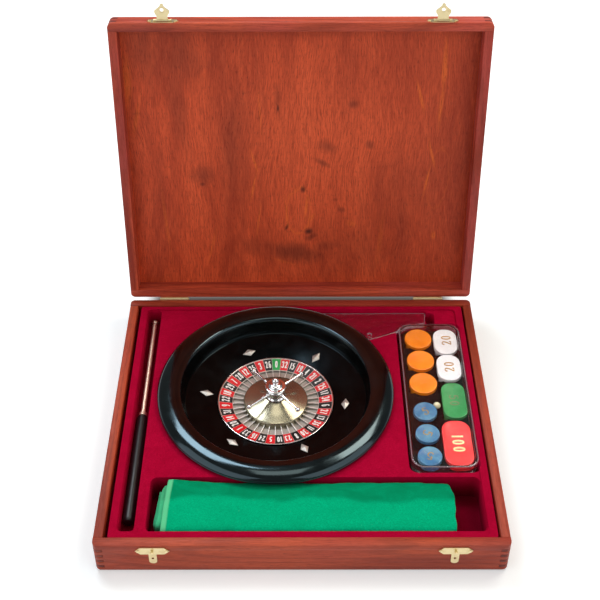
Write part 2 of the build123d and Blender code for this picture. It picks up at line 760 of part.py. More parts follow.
with BuildPart() as turret_column:
    turned([(0, cone_top_z + glue_line)]
           + [(r, cone_top_z + z) for r, z in (
               (10.4, glue_line), (10.4, 1.1), (8.8, 2.7), (8.4, 4.1), (9.8, 5.9), (9.8, 10.3),
               (8.2, 11.9), (7.9, column_h), (0, column_h))])

cap_h = 4.75
neck_z = cap_z + cap_h + glue_line

with BuildPart() as turret_cap:
    turned([(r, cap_z + z) for r, z in (
        (0, 0), (10.3, 0), (10.9, 0.55), (10.9, 1.25), (10.2, 1.75), (7.2, 1.85), (6.9, 3.05),
        (5.6, 4.15), (3.6, cap_h), (0, cap_h))])

with BuildPart() as turret_finial:
    turned([(0, neck_z), (2.7, neck_z), (2.0, neck_z + 1.15), (0, neck_z + 1.15)])
    with Locations((wheel_x, wheel_y, finial_z)):
        Sphere(finial_r)

arm_root_r = 9.9

with BuildPart() as turret_arms:
    for i in range(4):
        a = math.radians(arm_turn + 90 * i)
        out = (math.cos(a), math.sin(a))
        start = Plane(origin=(wheel_x + arm_root_r * out[0], wheel_y + arm_root_r * out[1], arm_z),
                      z_dir=(out[0], out[1], 0))
        with BuildSketch(start):
            Circle(2.4)
        extrude(amount=2.0)
        with BuildSketch(start):
            Circle(1.9)
        extrude(amount=6.0)
        with BuildSketch(start):
            Circle(arm_rod_r)
        extrude(amount=arm_tip_r - arm_root_r)
        with Locations((wheel_x + arm_tip_r * out[0], wheel_y + arm_tip_r * out[1], arm_z)):
            Sphere(arm_ball_r)


# ---- rake ----
def rod(points):
    """A closed profile of (radius, y) points, turned about the rake's line."""
    along = Plane(origin=(rake_x, 0, rake_z), x_dir=(1, 0, 0), z_dir=(0, 0, 1))
    with BuildSketch(along) as profile:
        with BuildLine():
            Polyline(*points, close=True)
        make_face()
    revolve(profile.sketch, axis=Axis((rake_x, 0, rake_z), (0, 1, 0)))


bore_y = handle_y[0] + 14.0
with BuildPart() as rake_handle:
    rod([(0, handle_y[0]), (3.4, handle_y[0]), (5.0, handle_y[0] + 1.2),
         (handle_r, handle_y[0] + 4.0), (handle_r, handle_y[1] - 1.0), (handle_r - 1.0, handle_y[1]),
         (tube_r + glue_line, handle_y[1]), (tube_r + glue_line, bore_y), (0, bore_y)])

with BuildPart() as rake_ferrule:
    rod([(tube_r + glue_line, handle_y[1] + glue_line), (3.3, handle_y[1] + glue_line),
         (3.3, handle_y[1] + 1.4), (2.9, handle_y[1] + 2.4), (2.85, ferrule_end_y - 0.8),
         (3.15, ferrule_end_y), (tube_r + glue_line, ferrule_end_y)])

with BuildPart() as rake_outer_tube:
    rod([(middle_r + slide_play, bore_y + 0.2), (tube_r, bore_y + 0.2), (tube_r, tube_end_y),
         (middle_r + slide_play, tube_end_y)])

with BuildPart() as rake_middle_tube:
    rod([(tip_rod_r + slide_play, bore_y + 4.0), (middle_r, bore_y + 4.0), (middle_r, tube_end_y + 0.3),
         (2.7, tube_end_y + 0.3), (2.7, tube_end_y + 2.3), (tip_rod_r + slide_play, tube_end_y + 2.3)])

with BuildPart() as rake_tip_rod:
    rod([(0, bore_y + 8.0), (tip_rod_r, bore_y + 8.0), (tip_rod_r, tube_end_y + 2.6),
         (2.3, tube_end_y + 2.8), (2.3, tip_end_y - 4.4), (3.2, tip_end_y - 3.6),
         (3.2, tip_end_y - 1.6), (2.7, tip_end_y - 0.5), (1.8, tip_end_y), (0, tip_end_y)])

with BuildPart() as rake_head:
    with BuildSketch(Plane.XY.offset(head_z)):
        head_outline(0.0, 2.2)
        with Locations(head_hole):
            Circle(head_hole_r, mode=Mode.SUBTRACT)
    extrude(amount=head_t)
    chamfer(rake_head.faces().sort_by(Axis.Z)[-1].outer_wire().edges(), 0.6)


# ---- chip box ----
def box_outline(inset, mode=Mode.ADD):
    with Locations(box_c):
        RectangleRounded(box_w - 2 * inset, box_l - 2 * inset, box_r - inset, mode=mode)


tub_out = box_wall + 0.2
tub_in = tub_out + box_wall
with BuildPart() as chip_box_tub:
    with BuildSketch(Plane.XY.offset(box_z)):
        box_outline(tub_out)
    extrude(amount=box_top - box_wall - 0.3 - box_z)
    with BuildSketch(Plane.XY.offset(skirt_z - 1.8)):
        box_outline(0)
    extrude(amount=1.6)
    with BuildSketch(Plane.XY.offset(box_z + box_wall)):
        box_outline(tub_in)
    extrude(amount=base_h, mode=Mode.SUBTRACT)

with BuildPart() as chip_box_lid:
    with BuildSketch(Plane.XY.offset(skirt_z)):
        box_outline(0)
    extrude(amount=box_top - skirt_z)
    fillet(chip_box_lid.faces().sort_by(Axis.Z)[-1].edges(), 1.1)
    with BuildSketch(Plane.XY.offset(skirt_z)):
        box_outline(box_wall)
    extrude(amount=box_top - box_wall - skirt_z, mode=Mode.SUBTRACT)

stack_z = chip_top - chips_high * (chip_t + chip_gap)


def stacks(places, draw):
    """Loose chips or plaques piled at each place."""
    for level in range(chips_high):
        low = stack_z + level * (chip_t + chip_gap) + chip_gap
        with BuildSketch(Plane.XY.offset(low)) as layer:
            with Locations(*places):
                draw()
        extrude(layer.sketch, amount=chip_t)


def plaque(size, grow=0.0):
    RectangleRounded(size[0] + 2 * grow, size[1] + 2 * grow, size[2] + grow)


chip_wells = [
    (orange_at, lambda grow: Circle(orange_r + grow)),
    (blue_at, lambda grow: Circle(blue_r + grow)),
    (white_at, lambda grow: plaque(white_size, grow)),
    (green_at, lambda grow: plaque(green_size, grow)),
    (red_at, lambda grow: plaque(red_size, grow)),
]
notch_at = [(x - 0.84 * orange_r, y - 0.583 * orange_r) for x, y in orange_at]
notch_at += [(x - white_size[0] / 2 + 2.2, y - white_size[1] / 2 + 3.8) for x, y in white_at]
notch_at += [(x - green_size[0] / 2 + 1.4, y - green_size[1] / 2 + 3.7) for x, y in green_at]

with BuildPart() as chip_insert:
    with BuildSketch(Plane.XY.offset(box_z + box_wall + 0.1)):
        box_outline(tub_in + 0.3)
    extrude(amount=insert_top - box_z - box_wall - 0.1)
    with BuildSketch(Plane.XY.offset(box_z)):
        box_outline(tub_in + 1.6)
    extrude(amount=stack_z - 1.4 - box_z, mode=Mode.SUBTRACT)
    for places, draw in chip_wells:
        with BuildSketch(Plane.XY.offset(stack_z)):
            with Locations(*places):
                draw(chip_play)
        extrude(amount=base_h, mode=Mode.SUBTRACT)
    with BuildSketch(Plane.XY.offset(stack_z)):
        with Locations(*notch_at):
            Circle(3.6)
    extrude(amount=base_h, mode=Mode.SUBTRACT)
    with BuildSketch(Plane.XY.offset(ball_at[2] - ball_r - 0.05)):
        with Locations((ball_at[0], ball_at[1])):
            Circle(ball_r + 0.4)
    extrude(amount=base_h, mode=Mode.SUBTRACT)

with BuildPart() as orange_chips:
    stacks(orange_at, lambda: Circle(orange_r))

with BuildPart() as blue_chips:
    stacks(blue_at, lambda: Circle(blue_r))

with BuildPart() as white_plaques:
    stacks(white_at, lambda: plaque(white_size))

with BuildPart() as green_plaques:
    stacks(green_at, lambda: plaque(green_size))

with BuildPart() as red_plaques:
    stacks(red_at, lambda: plaque(red_size))

with BuildPart() as roulette_ball:
    with Locations(ball_at):
        Sphere(ball_r)

# ---- cloth: a flattened roll, its inner turns standing out at the left end ----
cloth_mid = ((cloth_y[0] + cloth_y[1]) / 2, (cloth_z[0] + cloth_z[1]) / 2)
cloth_size = (cloth_y[1] - cloth_y[0], cloth_z[1] - cloth_z[0])

with BuildPart() as game_cloth:
    with BuildSketch(Plane.YZ.offset(cloth_x[0])):
        with Locations(cloth_mid):
            RectangleRounded(cloth_size[0], cloth_size[1], cloth_size[1] / 2 - 1.0)
    extrude(amount=cloth_x[1] - cloth_x[0])
    with BuildSketch(Plane.YZ.offset(cloth_core_x)):
        with Locations(cloth_mid):
            RectangleRounded(cloth_size[0] - 2 * cloth_layer, cloth_size[1] - 2 * cloth_layer,
                             cloth_size[1] / 2 - cloth_layer - 1.0)
            RectangleRounded(cloth_size[0] - 4 * cloth_layer, 3.0, 1.4, mode=Mode.SUBTRACT)
    extrude(amount=cloth_x[0] - cloth_core_x)

pieces = {
    "base_front_board": base_front_board,
    "base_back_board": base_back_board,
    "base_left_board": base_left_board,
    "base_right_board": base_right_board,
    "base_bottom_panel": base_bottom_panel,
    "lid_front_board": lid_front_board,
    "lid_back_board": lid_back_board,
    "lid_left_board": lid_left_board,
    "lid_right_board": lid_right_board,
    "lid_panel": lid_panel,
    "hinge_leaves_base": hinge_leaves_base,
    "hinge_leaves_lid": hinge_leaves_lid,
    "hinge_pins": hinge_pins,
    "hinge_screws_base": hinge_screws_base,
    "hinge_screws_lid": hinge_screws_lid,
    "catch_plate_left": catch_plate_left,
    "catch_plate_right": catch_plate_right,
    "catch_nails": catch_nails_group,
    "hasp_plate_left": hasp_plate_left,
    "hasp_plate_right": hasp_plate_right,
    "hasp_nails": hasp_nails_group,
    "hasp_pins": hasp_pins,
    "hasp_leaf_left": hasp_leaf_left,
    "hasp_leaf_right": hasp_leaf_right,
    "tray_insert": tray_insert,
    "wheel_bowl": wheel_bowl,
    "bowl_diamonds": bowl_diamonds,
    "spindle": spindle,
    "rotor_body": rotor_body,
    "rotor_bush": rotor_bush,
    "rotor_rim": rotor_rim,
    "number_ring": number_ring,
    "pocket_ring": pocket_ring,
    "rotor_cone": rotor_cone,
    "turret_column": turret_column,
    "turret_cap": turret_cap,
    "turret_finial": turret_finial,
    "turret_arms": turret_arms,
    "rake_handle": rake_handle,
    "rake_ferrule": rake_ferrule,
    "rake_outer_tube": rake_outer_tube,
    "rake_middle_tube": rake_middle_tube,
    "rake_tip_rod": rake_tip_rod,
    "rake_head": rake_head,
    "chip_box_tub": chip_box_tub,
    "chip_box_lid": chip_box_lid,
    "chip_insert": chip_insert,
    "orange_chips": orange_chips,
    "blue_chips": blue_chips,
    "white_plaques": white_plaques,
    "green_plaques": green_plaques,
    "red_plaques": red_plaques,
    "roulette_ball": roulette_ball,
    "game_cloth": game_cloth,
}
for label, piece in pieces.items():
    piece.part.label = label
    export_step(piece.part, f"parts/{label}.step")
    print(label, len(piece.part.solids()), round(piece.part.volume / 1000, 2), "cm3")
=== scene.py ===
import math

import bmesh
import bpy
import numpy as np
from mathutils import Matrix, Vector


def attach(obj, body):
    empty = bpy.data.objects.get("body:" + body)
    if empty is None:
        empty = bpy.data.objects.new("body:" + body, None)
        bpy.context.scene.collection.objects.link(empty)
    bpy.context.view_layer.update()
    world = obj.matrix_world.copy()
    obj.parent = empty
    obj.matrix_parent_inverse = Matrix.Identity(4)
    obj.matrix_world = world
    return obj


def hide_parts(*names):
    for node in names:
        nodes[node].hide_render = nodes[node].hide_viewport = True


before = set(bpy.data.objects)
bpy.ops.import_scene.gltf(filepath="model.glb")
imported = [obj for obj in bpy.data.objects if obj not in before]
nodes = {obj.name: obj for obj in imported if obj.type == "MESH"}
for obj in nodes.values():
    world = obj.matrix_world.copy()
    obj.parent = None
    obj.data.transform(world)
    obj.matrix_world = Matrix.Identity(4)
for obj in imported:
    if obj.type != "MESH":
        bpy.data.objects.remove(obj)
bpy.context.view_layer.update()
print("scene: the packed case is loaded,", len(nodes), "nodes")


def newObject(name, data):
    made = bpy.data.objects.new(name, data)
    bpy.context.scene.collection.objects.link(made)
    return made


# The camera stands where the photograph was taken: metres, degrees and millimetres of lens.
cameraSettings = dict(
    place=(-0.00505, -0.79842, 0.93470),
    pitch=38.851,
    yaw=-0.125,
    roll=-0.154,
    lens=68.64,
    shift=(0.0101, -0.1334),
)


# The view axes follow from the three angles: forward first, then right and up, then the roll.
def placeCamera(look):
    pitch, yaw, roll = (math.radians(look[k]) for k in ("pitch", "yaw", "roll"))
    level = math.cos(pitch)
    forward = Vector((math.sin(yaw) * level, math.cos(yaw) * level, -math.sin(pitch)))
    right = Vector((math.cos(yaw), -math.sin(yaw), 0))
    up = right.cross(forward)
    side = right * math.cos(roll) + up * math.sin(roll)
    top = up * math.cos(roll) - right * math.sin(roll)
    data = bpy.data.cameras.new("camera")
    data.lens = look["lens"]
    data.sensor_width = 36
    data.shift_x, data.shift_y = look["shift"]
    data.clip_end = 50
    camera = newObject("camera", data)
    turned = Matrix((side, top, -forward)).transposed().to_4x4()
    camera.matrix_world = Matrix.Translation(look["place"]) @ turned
    bpy.context.scene.camera = camera


placeCamera(cameraSettings)
bpy.context.scene.view_settings.view_transform = "Standard"

# Colours are written as on a screen, 0 to 255, and turned to linear light here.
def tint(red, green, blue):
    part = np.array([red, green, blue]) / 255
    linear = np.where(part <= 0.04045, part / 12.92, ((part + 0.055) / 1.055) ** 2.4)
    return (*linear.tolist(), 1.0)


# One shader node with its inputs: a socket is linked and anything else is set.
def shade(tree, kind, inputs=None, **settings):
    made = tree.nodes.new("ShaderNode" + kind)
    for key, value in settings.items():
        setattr(made, key, value)
    for key, value in (inputs or {}).items():
        if isinstance(value, bpy.types.NodeSocket):
            tree.links.new(value, made.inputs[key])
        else:
            made.inputs[key].default_value = value
    return made


def calc(tree, kind, a, b=0.0):
    return shade(tree, "Math", {0: a, 1: b}, operation=kind).outputs[0]


def vectorCalc(tree, kind, a, b=(0, 0, 0)):
    made = shade(tree, "VectorMath", {0: a, 1: b}, operation=kind)
    return made.outputs["Value" if kind in ("LENGTH", "DOT_PRODUCT") else 0]


# Brings a value from low..high to 0..1 or to out, with soft ends.
def between(tree, value, low, high, out=(0.0, 1.0)):
    inputs = {0: value, 1: low, 2: high, 3: out[0], 4: out[1]}
    return shade(tree, "MapRange", inputs, interpolation_type="SMOOTHSTEP").outputs[0]


def mixed(tree, amount, a, b):
    made = shade(tree, "Mix", {"Factor": amount}, data_type="RGBA")
    for socket, value in ((made.inputs[6], a), (made.inputs[7], b)):
        if isinstance(value, bpy.types.NodeSocket):
            tree.links.new(value, socket)
        else:
            socket.default_value = value
    return made.outputs[2]


# Lays a colour over mix where value is between low and high, as strongly as depth.
def stain(tree, mix, value, low, high, depth, colour):
    return mixed(tree, between(tree, value, low, high, (0.0, depth)), mix, tint(*colour))


def heightOf(tree, place):
    return shade(tree, "SeparateXYZ", {0: place}).outputs[2]


# Noise whose three scales are waves per metre, so a large one lies across the grain.
def noise(tree, place, scale, detail=3.0, rough=0.55, twist=0.0):
    spread = shade(tree, "Mapping", {"Vector": place, "Scale": scale}, vector_type="POINT").outputs[0]
    inputs = {"Vector": spread, "Scale": 1.0, "Detail": detail, "Roughness": rough, "Distortion": twist}
    return shade(tree, "TexNoise", inputs).outputs[0]


# The place as seen from an origin that is turned and scaled.
def seenFrom(tree, place, origin, turn, scale=(1, 1, 1)):
    inputs = {"Vector": place, "Location": origin, "Rotation": turn, "Scale": scale}
    return shade(tree, "Mapping", inputs, vector_type="TEXTURE").outputs[0]


# A new material: its tree, its shader and the place on the object in metres.
def newMaterial(name, **numbers):
    material = bpy.data.materials.new(name)
    material.use_nodes = True
    tree = material.node_tree
    shader = tree.nodes["Principled BSDF"]
    for key, value in numbers.items():
        shader.inputs[key.replace("_", " ")].default_value = value
    place = shade(tree, "TexCoord").outputs["Object"]
    return material, tree, shader, place


# Gives a shader its colour, its relief and, where it changes, its roughness.
def coat(tree, shader, colour, height, depth, strength, roughness=None):
    made = shade(tree, "Bump", {"Height": height, "Distance": depth, "Strength": strength})
    tree.links.new(made.outputs[0], shader.inputs["Normal"])
    tree.links.new(colour, shader.inputs["Base Color"])
    if roughness:
        tree.links.new(roughness, shader.inputs["Roughness"])


# Lamps: place, size, watts and colour. The world is a pale room, a little warm overhead.
lightSettings = dict(
    zenith=(0.17, 0.165, 0.15),
    horizon=(0.17, 0.17, 0.18),
    lamps=[((-0.62, 0.84, 1.80), (0.8, 0.65), 15.0, (0.88, 0.95, 1.0)),
           ((0.86, 0.62, 1.78), (0.8, 0.65), 13.0, (1.0, 0.90, 0.76)),
           ((-1.5, -0.9, 1.2), (2.2, 2.2), 18.0, (0.98, 0.99, 1.0)),
           ((1.5, -0.9, 1.2), (2.2, 2.2), 17.0, (1.0, 1.0, 0.98)),
           ((0.0, 0.12, 2.0), (0.6, 0.6), 2.6, (1.0, 0.95, 0.82))],
    aim=(0, 0.05, 0.05),
    floor=(235, 240, 243),
    # The colour of the painted shadow on the floor under the leaning lid.
    paintedLidShadow=(96, 92, 90),
    glow=(0.3, 0.45),
    reach=(0.0, 0.12),
)


# What the camera meets straight or by mirrors and clear plastic alone, without a matt
# surface between them: 1 for those rays and 0 for the light that falls on things.
def straight(tree, rays, bent):
    bent = calc(tree, "MULTIPLY", bent, calc(tree, "LESS_THAN", rays["Diffuse Depth"], 0.5))
    return calc(tree, "MAXIMUM", rays["Is Camera Ray"], bent)


# The camera meets a white room. Mirrors and clear plastic show it near the horizon only,
# and surfaces are lit by the softer gradient.
def lightScene(look):
    world = bpy.data.worlds.new("studio")
    world.use_nodes = True
    bpy.context.scene.world = world
    tree = world.node_tree
    height = heightOf(tree, shade(tree, "TexCoord").outputs["Generated"])
    room = mixed(tree, between(tree, height, 0.0, 0.7), (*look["horizon"], 1), (*look["zenith"], 1))
    rays = shade(tree, "LightPath").outputs
    bent = calc(tree, "MAXIMUM", rays["Is Transmission Ray"], rays["Is Glossy Ray"])
    seen = straight(tree, rays, calc(tree, "MULTIPLY", bent, between(tree, height, 0.04, 0.2, (1.0, 0.0))))
    tree.links.new(mixed(tree, seen, room, (1, 1, 1, 1)), tree.nodes["Background"].inputs[0])
    for i, (place, size, power, colour) in enumerate(look["lamps"]):
        data = bpy.data.lights.new(f"softbox{i}", "AREA")
        data.shape = "RECTANGLE"
        data.size, data.size_y = size
        data.energy = power
        data.color = colour
        box = newObject(f"softbox{i}", data)
        box.location = place
        aim = Vector(look["aim"]) - Vector(place)
        box.rotation_euler = aim.to_track_quat("-Z", "Y").to_euler()


# The floor is white paper with a painted shadow, dull grey, in the corner under the leaning lid. What the
# camera sees of it glows more with its distance from the case, so the case's own shadow stays.
def layFloor(look):
    material, tree, shader, place = newMaterial("floorPaper", Roughness=0.9)
    rays = shade(tree, "LightPath").outputs
    seen = straight(tree, rays, calc(tree, "MAXIMUM", rays["Is Glossy Ray"], rays["Is Transmission Ray"]))

    # How far a point is from a rectangle round middle, with the given half sides.
    def away(middle, half):
        steps = vectorCalc(tree, "ABSOLUTE", vectorCalc(tree, "SUBTRACT", place, middle))
        steps = vectorCalc(tree, "MAXIMUM", vectorCalc(tree, "SUBTRACT", steps, half))
        return vectorCalc(tree, "LENGTH", steps)

    # Painted shadow: the paper turns grey in the corner under the leaning lid, and it does not glow there.
    under = between(tree, away((0, 0.19, 0), (0.165, 0.02, 10)), 0.0, 0.025)
    paper = mixed(tree, under, tint(*look["paintedLidShadow"]), tint(*look["floor"]))
    tree.links.new(paper, shader.inputs["Base Color"])
    fade = between(tree, away((0, 0, 0), (0.194, 0.17, 10)), *look["reach"], look["glow"])
    fade = calc(tree, "MULTIPLY", fade, under)
    glow = shade(tree, "Emission", {"Color": (1, 1, 1, 1), "Strength": calc(tree, "MULTIPLY", seen, fade)})
    both = shade(tree, "AddShader", {0: shader.outputs[0], 1: glow.outputs[0]})
    tree.links.new(both.outputs[0], tree.nodes["Material Output"].inputs[0])
    mesh = bpy.data.meshes.new("floor")
    corners = [(x * 6, y * 6, -0.0004) for x, y in ((-1, -1), (1, -1), (1, 1), (-1, 1))]
    mesh.from_pydata(corners, [], [(0, 1, 2, 3)])
    mesh.materials.append(material)
    floor = newObject("floor", mesh)


lightScene(lightSettings)
layFloor(lightSettings)
print("scene: camera, softboxes and floor stand")

# All shapes below are worked out in millimetres, as whole arrays.
# Faces of a grid: each cell between neighbouring rows and columns is one quad.
def gridFaces(rows, cols, wrapRows=False, wrapCols=True):
    r = np.arange(rows if wrapRows else rows - 1)[:, None]
    c = np.arange(cols if wrapCols else cols - 1)[None, :]
    nextRow, nextCol = (r + 1) % rows, (c + 1) % cols
    corners = [r * cols + c, r * cols + nextCol, nextRow * cols + nextCol, nextRow * cols + c]
    return np.stack(corners, -1).reshape(-1, 4)


# Rounds the corners of a profile: at each corner a short parabola between a point before
# it and a point after it, never further away than 0.45 of the side.
def soften(profile, radius, steps=5, closed=False):
    p = np.asarray(profile, float)
    toLast, toNext = np.roll(p, 1, 0) - p, np.roll(p, -1, 0) - p
    lastLength = np.maximum(np.linalg.norm(toLast, axis=1, keepdims=True), 1e-9)
    nextLength = np.maximum(np.linalg.norm(toNext, axis=1, keepdims=True), 1e-9)
    start = p + toLast / lastLength * np.minimum(radius, lastLength * 0.45)
    end = p + toNext / nextLength * np.minimum(radius, nextLength * 0.45)
    if not closed:
        start[0], end[0], start[-1], end[-1] = p[0], p[0], p[-1], p[-1]
    t = np.linspace(0, 1, steps)[None, :, None]
    bend = (1 - t) ** 2 * start[:, None] + 2 * t * (1 - t) * p[:, None] + t**2 * end[:, None]
    return bend.reshape(-1, 2)


# A smooth line through given points: between two of them the cubic whose slopes are
# half the step between their neighbours.
def flowing(points, steps=8):
    p = np.asarray(points, float)
    slope = np.gradient(p, axis=0)
    t = np.linspace(0, 1, steps, endpoint=False)[None, :, None]
    a, b, m, n = p[:-1, None], p[1:, None], slope[:-1, None], slope[1:, None]
    line = (2 * t**3 - 3 * t**2 + 1) * a + (3 * t**2 - 2 * t**3) * b
    line = line + (t**3 - 2 * t**2 + t) * m + (t**3 - t**2) * n
    return np.vstack([line.reshape(-1, 2), p[-1:]])


def share(value):
    return np.clip(value, 0, 1)


# Soft start and end: 3 t squared less 2 t cubed, with t kept between 0 and 1.
def eased(value):
    t = share(value)
    return t * t * (3 - 2 * t)


# A ball's outline from a start angle up to its crown, as (radius, height).
def dome(radius, middle, start, steps):
    swing = np.linspace(start, math.pi / 2, steps)
    line = np.column_stack([radius * np.cos(swing), middle + radius * np.sin(swing)])
    line[line[:, 0] < 1e-9, 0] = 0
    return line


# A turned shape: a profile of (radius, height) swept in a circle round an axis.
def turned(profile, centre, steps=96, along=(0, 0, 1), across=(1, 0, 0), closed=False):
    p = np.asarray(profile, float)
    along, across = np.array(along, float), np.array(across, float)
    angle = np.linspace(0, 2 * math.pi, steps, endpoint=False)
    spoke = np.cos(angle)[:, None] * across + np.sin(angle)[:, None] * np.cross(along, across)
    points = np.array(centre, float) + p[:, None, :1] * spoke[None] + p[:, None, 1:] * along
    return points.reshape(-1, 3), gridFaces(len(p), steps, closed, True).tolist()


# Outline of a rectangle with round corners, pulled in by inset.
def outline(width, length, radius, inset=0.0, perCorner=10):
    quarter = np.arange(4)[:, None] * math.pi / 2
    angle = quarter + np.linspace(0, math.pi / 2, perCorner)[None]
    sides = np.sign(np.stack([np.cos(quarter + 0.7), np.sin(quarter + 0.7)], -1))
    middles = sides * (np.array([width, length]) / 2 - radius)
    ring = middles + (radius - inset) * np.stack([np.cos(angle), np.sin(angle)], -1)
    return ring.reshape(-1, 2)


# A pressed piece: one outline per (inset, height) row, closed with a flat face at both ends.
def pressed(size, rows, centre, perCorner=10):
    cols = 4 * perCorner
    loops = [np.column_stack([outline(*size, inset, perCorner), np.full(cols, z)]) for inset, z in rows]
    points = np.vstack(loops) + np.array([centre[0], centre[1], 0])
    last = (len(rows) - 1) * cols
    faces = gridFaces(len(rows), cols, False, True).tolist()
    return points, faces + [list(range(cols))[::-1], list(range(last, last + cols))]


def joined(shapes):
    points, faces, start = [], [], 0
    for part, cells in shapes:
        points.append(part)
        faces += [[i + start for i in cell] for cell in cells]
        start += len(part)
    return np.vstack(points), faces


# Puts a shape in the scene as one piece, which rides on a body and may replace CAD nodes.
def addPiece(name, shape, body, slot, materials, replaced=(), sharp=None, merge=True, turnOut=True):
    points, faces = shape
    mesh = bpy.data.meshes.new(name)
    mesh.from_pydata((points / 1000).tolist(), [], faces)
    work = bmesh.new()
    work.from_mesh(mesh)
    if merge:
        bmesh.ops.remove_doubles(work, verts=work.verts, dist=2e-6)
    if turnOut:
        bmesh.ops.recalc_face_normals(work, faces=work.faces)
    work.to_mesh(mesh)
    work.free()
    mesh.shade_smooth()
    if sharp:
        mesh.set_sharp_from_angle(angle=math.radians(sharp))
    return place(name, mesh, body, slot, materials, replaced)


def place(name, mesh, body, slot, materials, replaced=()):
    for material in materials if isinstance(materials, (list, tuple)) else [materials]:
        mesh.materials.append(material)
    piece = newObject(name, mesh)
    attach(piece, body)
    if replaced:
        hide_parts(*([replaced] if isinstance(replaced, str) else replaced))
    return piece


# Gives each face of a piece the number of its material.
def paint(piece, numbers):
    piece.data.polygons.foreach_set("material_index", np.asarray(numbers).astype(int).reshape(-1))


# A copy of a CAD node with its loose triangles merged and its sharp edges rounded.
def roundedCopy(name, node, body, slot, material, width, segments=3, angle=30):
    mesh = nodes[node].data.copy()
    mesh.name = name
    mesh.materials.clear()
    work = bmesh.new()
    work.from_mesh(mesh)
    bmesh.ops.remove_doubles(work, verts=work.verts, dist=2e-6)
    bmesh.ops.dissolve_limit(work, angle_limit=math.radians(0.6), verts=work.verts, edges=work.edges)
    work.to_mesh(mesh)
    work.free()
    mesh.polygons.foreach_set("use_smooth", np.ones(len(mesh.polygons), bool))
    piece = place(name, mesh, body, slot, material, node)
    rounding = piece.modifiers.new("rounding", "BEVEL")
    rounding.width = width / 1000
    rounding.segments = segments
    rounding.limit_method = "ANGLE"
    rounding.angle_limit = math.radians(angle)
    rounding.harden_normals = True
    return piece


# Figures are drawn with a broad pen. Each line below runs through its points, in a box
# one wide and one high; an oval is (middle x, middle y, half width, half height).
penLines = {
    "0": [(0.5, 0.5, 0.4, 0.47)],
    "1": [[(0.5, 0.0), (0.5, 0.98)], [(0.2, 0.83), (0.5, 0.96)], [(0.14, 0.02), (0.86, 0.02)]],
    "2": [[(0.1, 0.74), (0.17, 0.9), (0.48, 0.98), (0.82, 0.89), (0.86, 0.7), (0.62, 0.42), (0.28, 0.17),
           (0.1, 0.05)],
          [(0.06, 0.05), (0.94, 0.05)], [(0.91, 0.03), (0.95, 0.2)]],
    "3": [[(0.1, 0.78), (0.2, 0.92), (0.48, 0.98), (0.8, 0.9), (0.82, 0.68), (0.62, 0.55), (0.38, 0.53)],
          [(0.38, 0.53), (0.72, 0.49), (0.9, 0.33), (0.84, 0.12), (0.5, 0.02), (0.2, 0.07), (0.08, 0.22)]],
    "4": [[(0.7, 0.0), (0.7, 1.0)], [(0.68, 0.98), (0.06, 0.3)], [(0.04, 0.28), (0.96, 0.28)]],
    "5": [[(0.86, 0.95), (0.2, 0.95)], [(0.2, 0.97), (0.15, 0.54)],
          [(0.15, 0.52), (0.4, 0.63), (0.74, 0.57), (0.9, 0.33), (0.76, 0.1), (0.44, 0.02), (0.18, 0.08),
           (0.08, 0.2)]],
    "6": [[(0.82, 0.88), (0.56, 0.98), (0.26, 0.88), (0.11, 0.55), (0.14, 0.2), (0.46, 0.02), (0.78, 0.12),
           (0.89, 0.3), (0.76, 0.5), (0.48, 0.58), (0.2, 0.46), (0.12, 0.32)]],
    "7": [[(0.08, 0.95), (0.92, 0.95)], [(0.9, 0.94), (0.62, 0.6), (0.44, 0.3), (0.38, 0.0)]],
    "8": [(0.5, 0.75, 0.34, 0.22), (0.5, 0.27, 0.4, 0.25)],
    "9": [[(0.18, 0.12), (0.44, 0.02), (0.74, 0.12), (0.89, 0.45), (0.86, 0.8), (0.54, 0.98), (0.22, 0.88),
           (0.11, 0.7), (0.24, 0.5), (0.52, 0.42), (0.8, 0.54), (0.88, 0.68)]],
}


# One figure line as a ribbon: its width grows from fine to broad as the line runs upright.
def ribbon(line, fine, broad):
    run = np.gradient(line, axis=0)
    run /= np.maximum(np.linalg.norm(run, axis=1, keepdims=True), 1e-9)
    half = (fine + (broad - fine) * np.abs(run[:, 1:]) ** 1.5) / 2
    aside = np.column_stack([-run[:, 1], run[:, 0]]) * half
    points = np.stack([line + aside, line - aside], 1).reshape(-1, 2)
    return points, gridFaces(len(line), 2, False, False).tolist()


# A number as flat points round its middle, in millimetres, each line a hair above the last.
def figures(text, width, height, gap, fine, broad):
    wide = np.array([width * (0.55 if letter == "1" else 1.0) for letter in text])
    start = np.cumsum(wide + gap) - wide - gap - (wide.sum() + gap * (len(text) - 1)) / 2
    shapes = []
    turn = np.linspace(0, 2 * math.pi, 33)[:, None]
    for letter, left, reach in zip(text, start, wide):
        for part in penLines[letter]:
            if isinstance(part, tuple):
                line = np.hstack([part[0] + part[2] * np.cos(turn), part[1] + part[3] * np.sin(turn)])
            else:
                line = flowing(part, 6 if len(part) > 2 else 2)
            edge = np.array([broad, fine]) / 2
            line = edge + line * (np.array([reach, height]) - 2 * edge) + np.array([left, -height / 2])
            points, cells = ribbon(line, fine, broad)
            shapes.append((np.column_stack([points, np.full(len(points), 0.012 * len(shapes))]), cells))
    return joined(shapes)


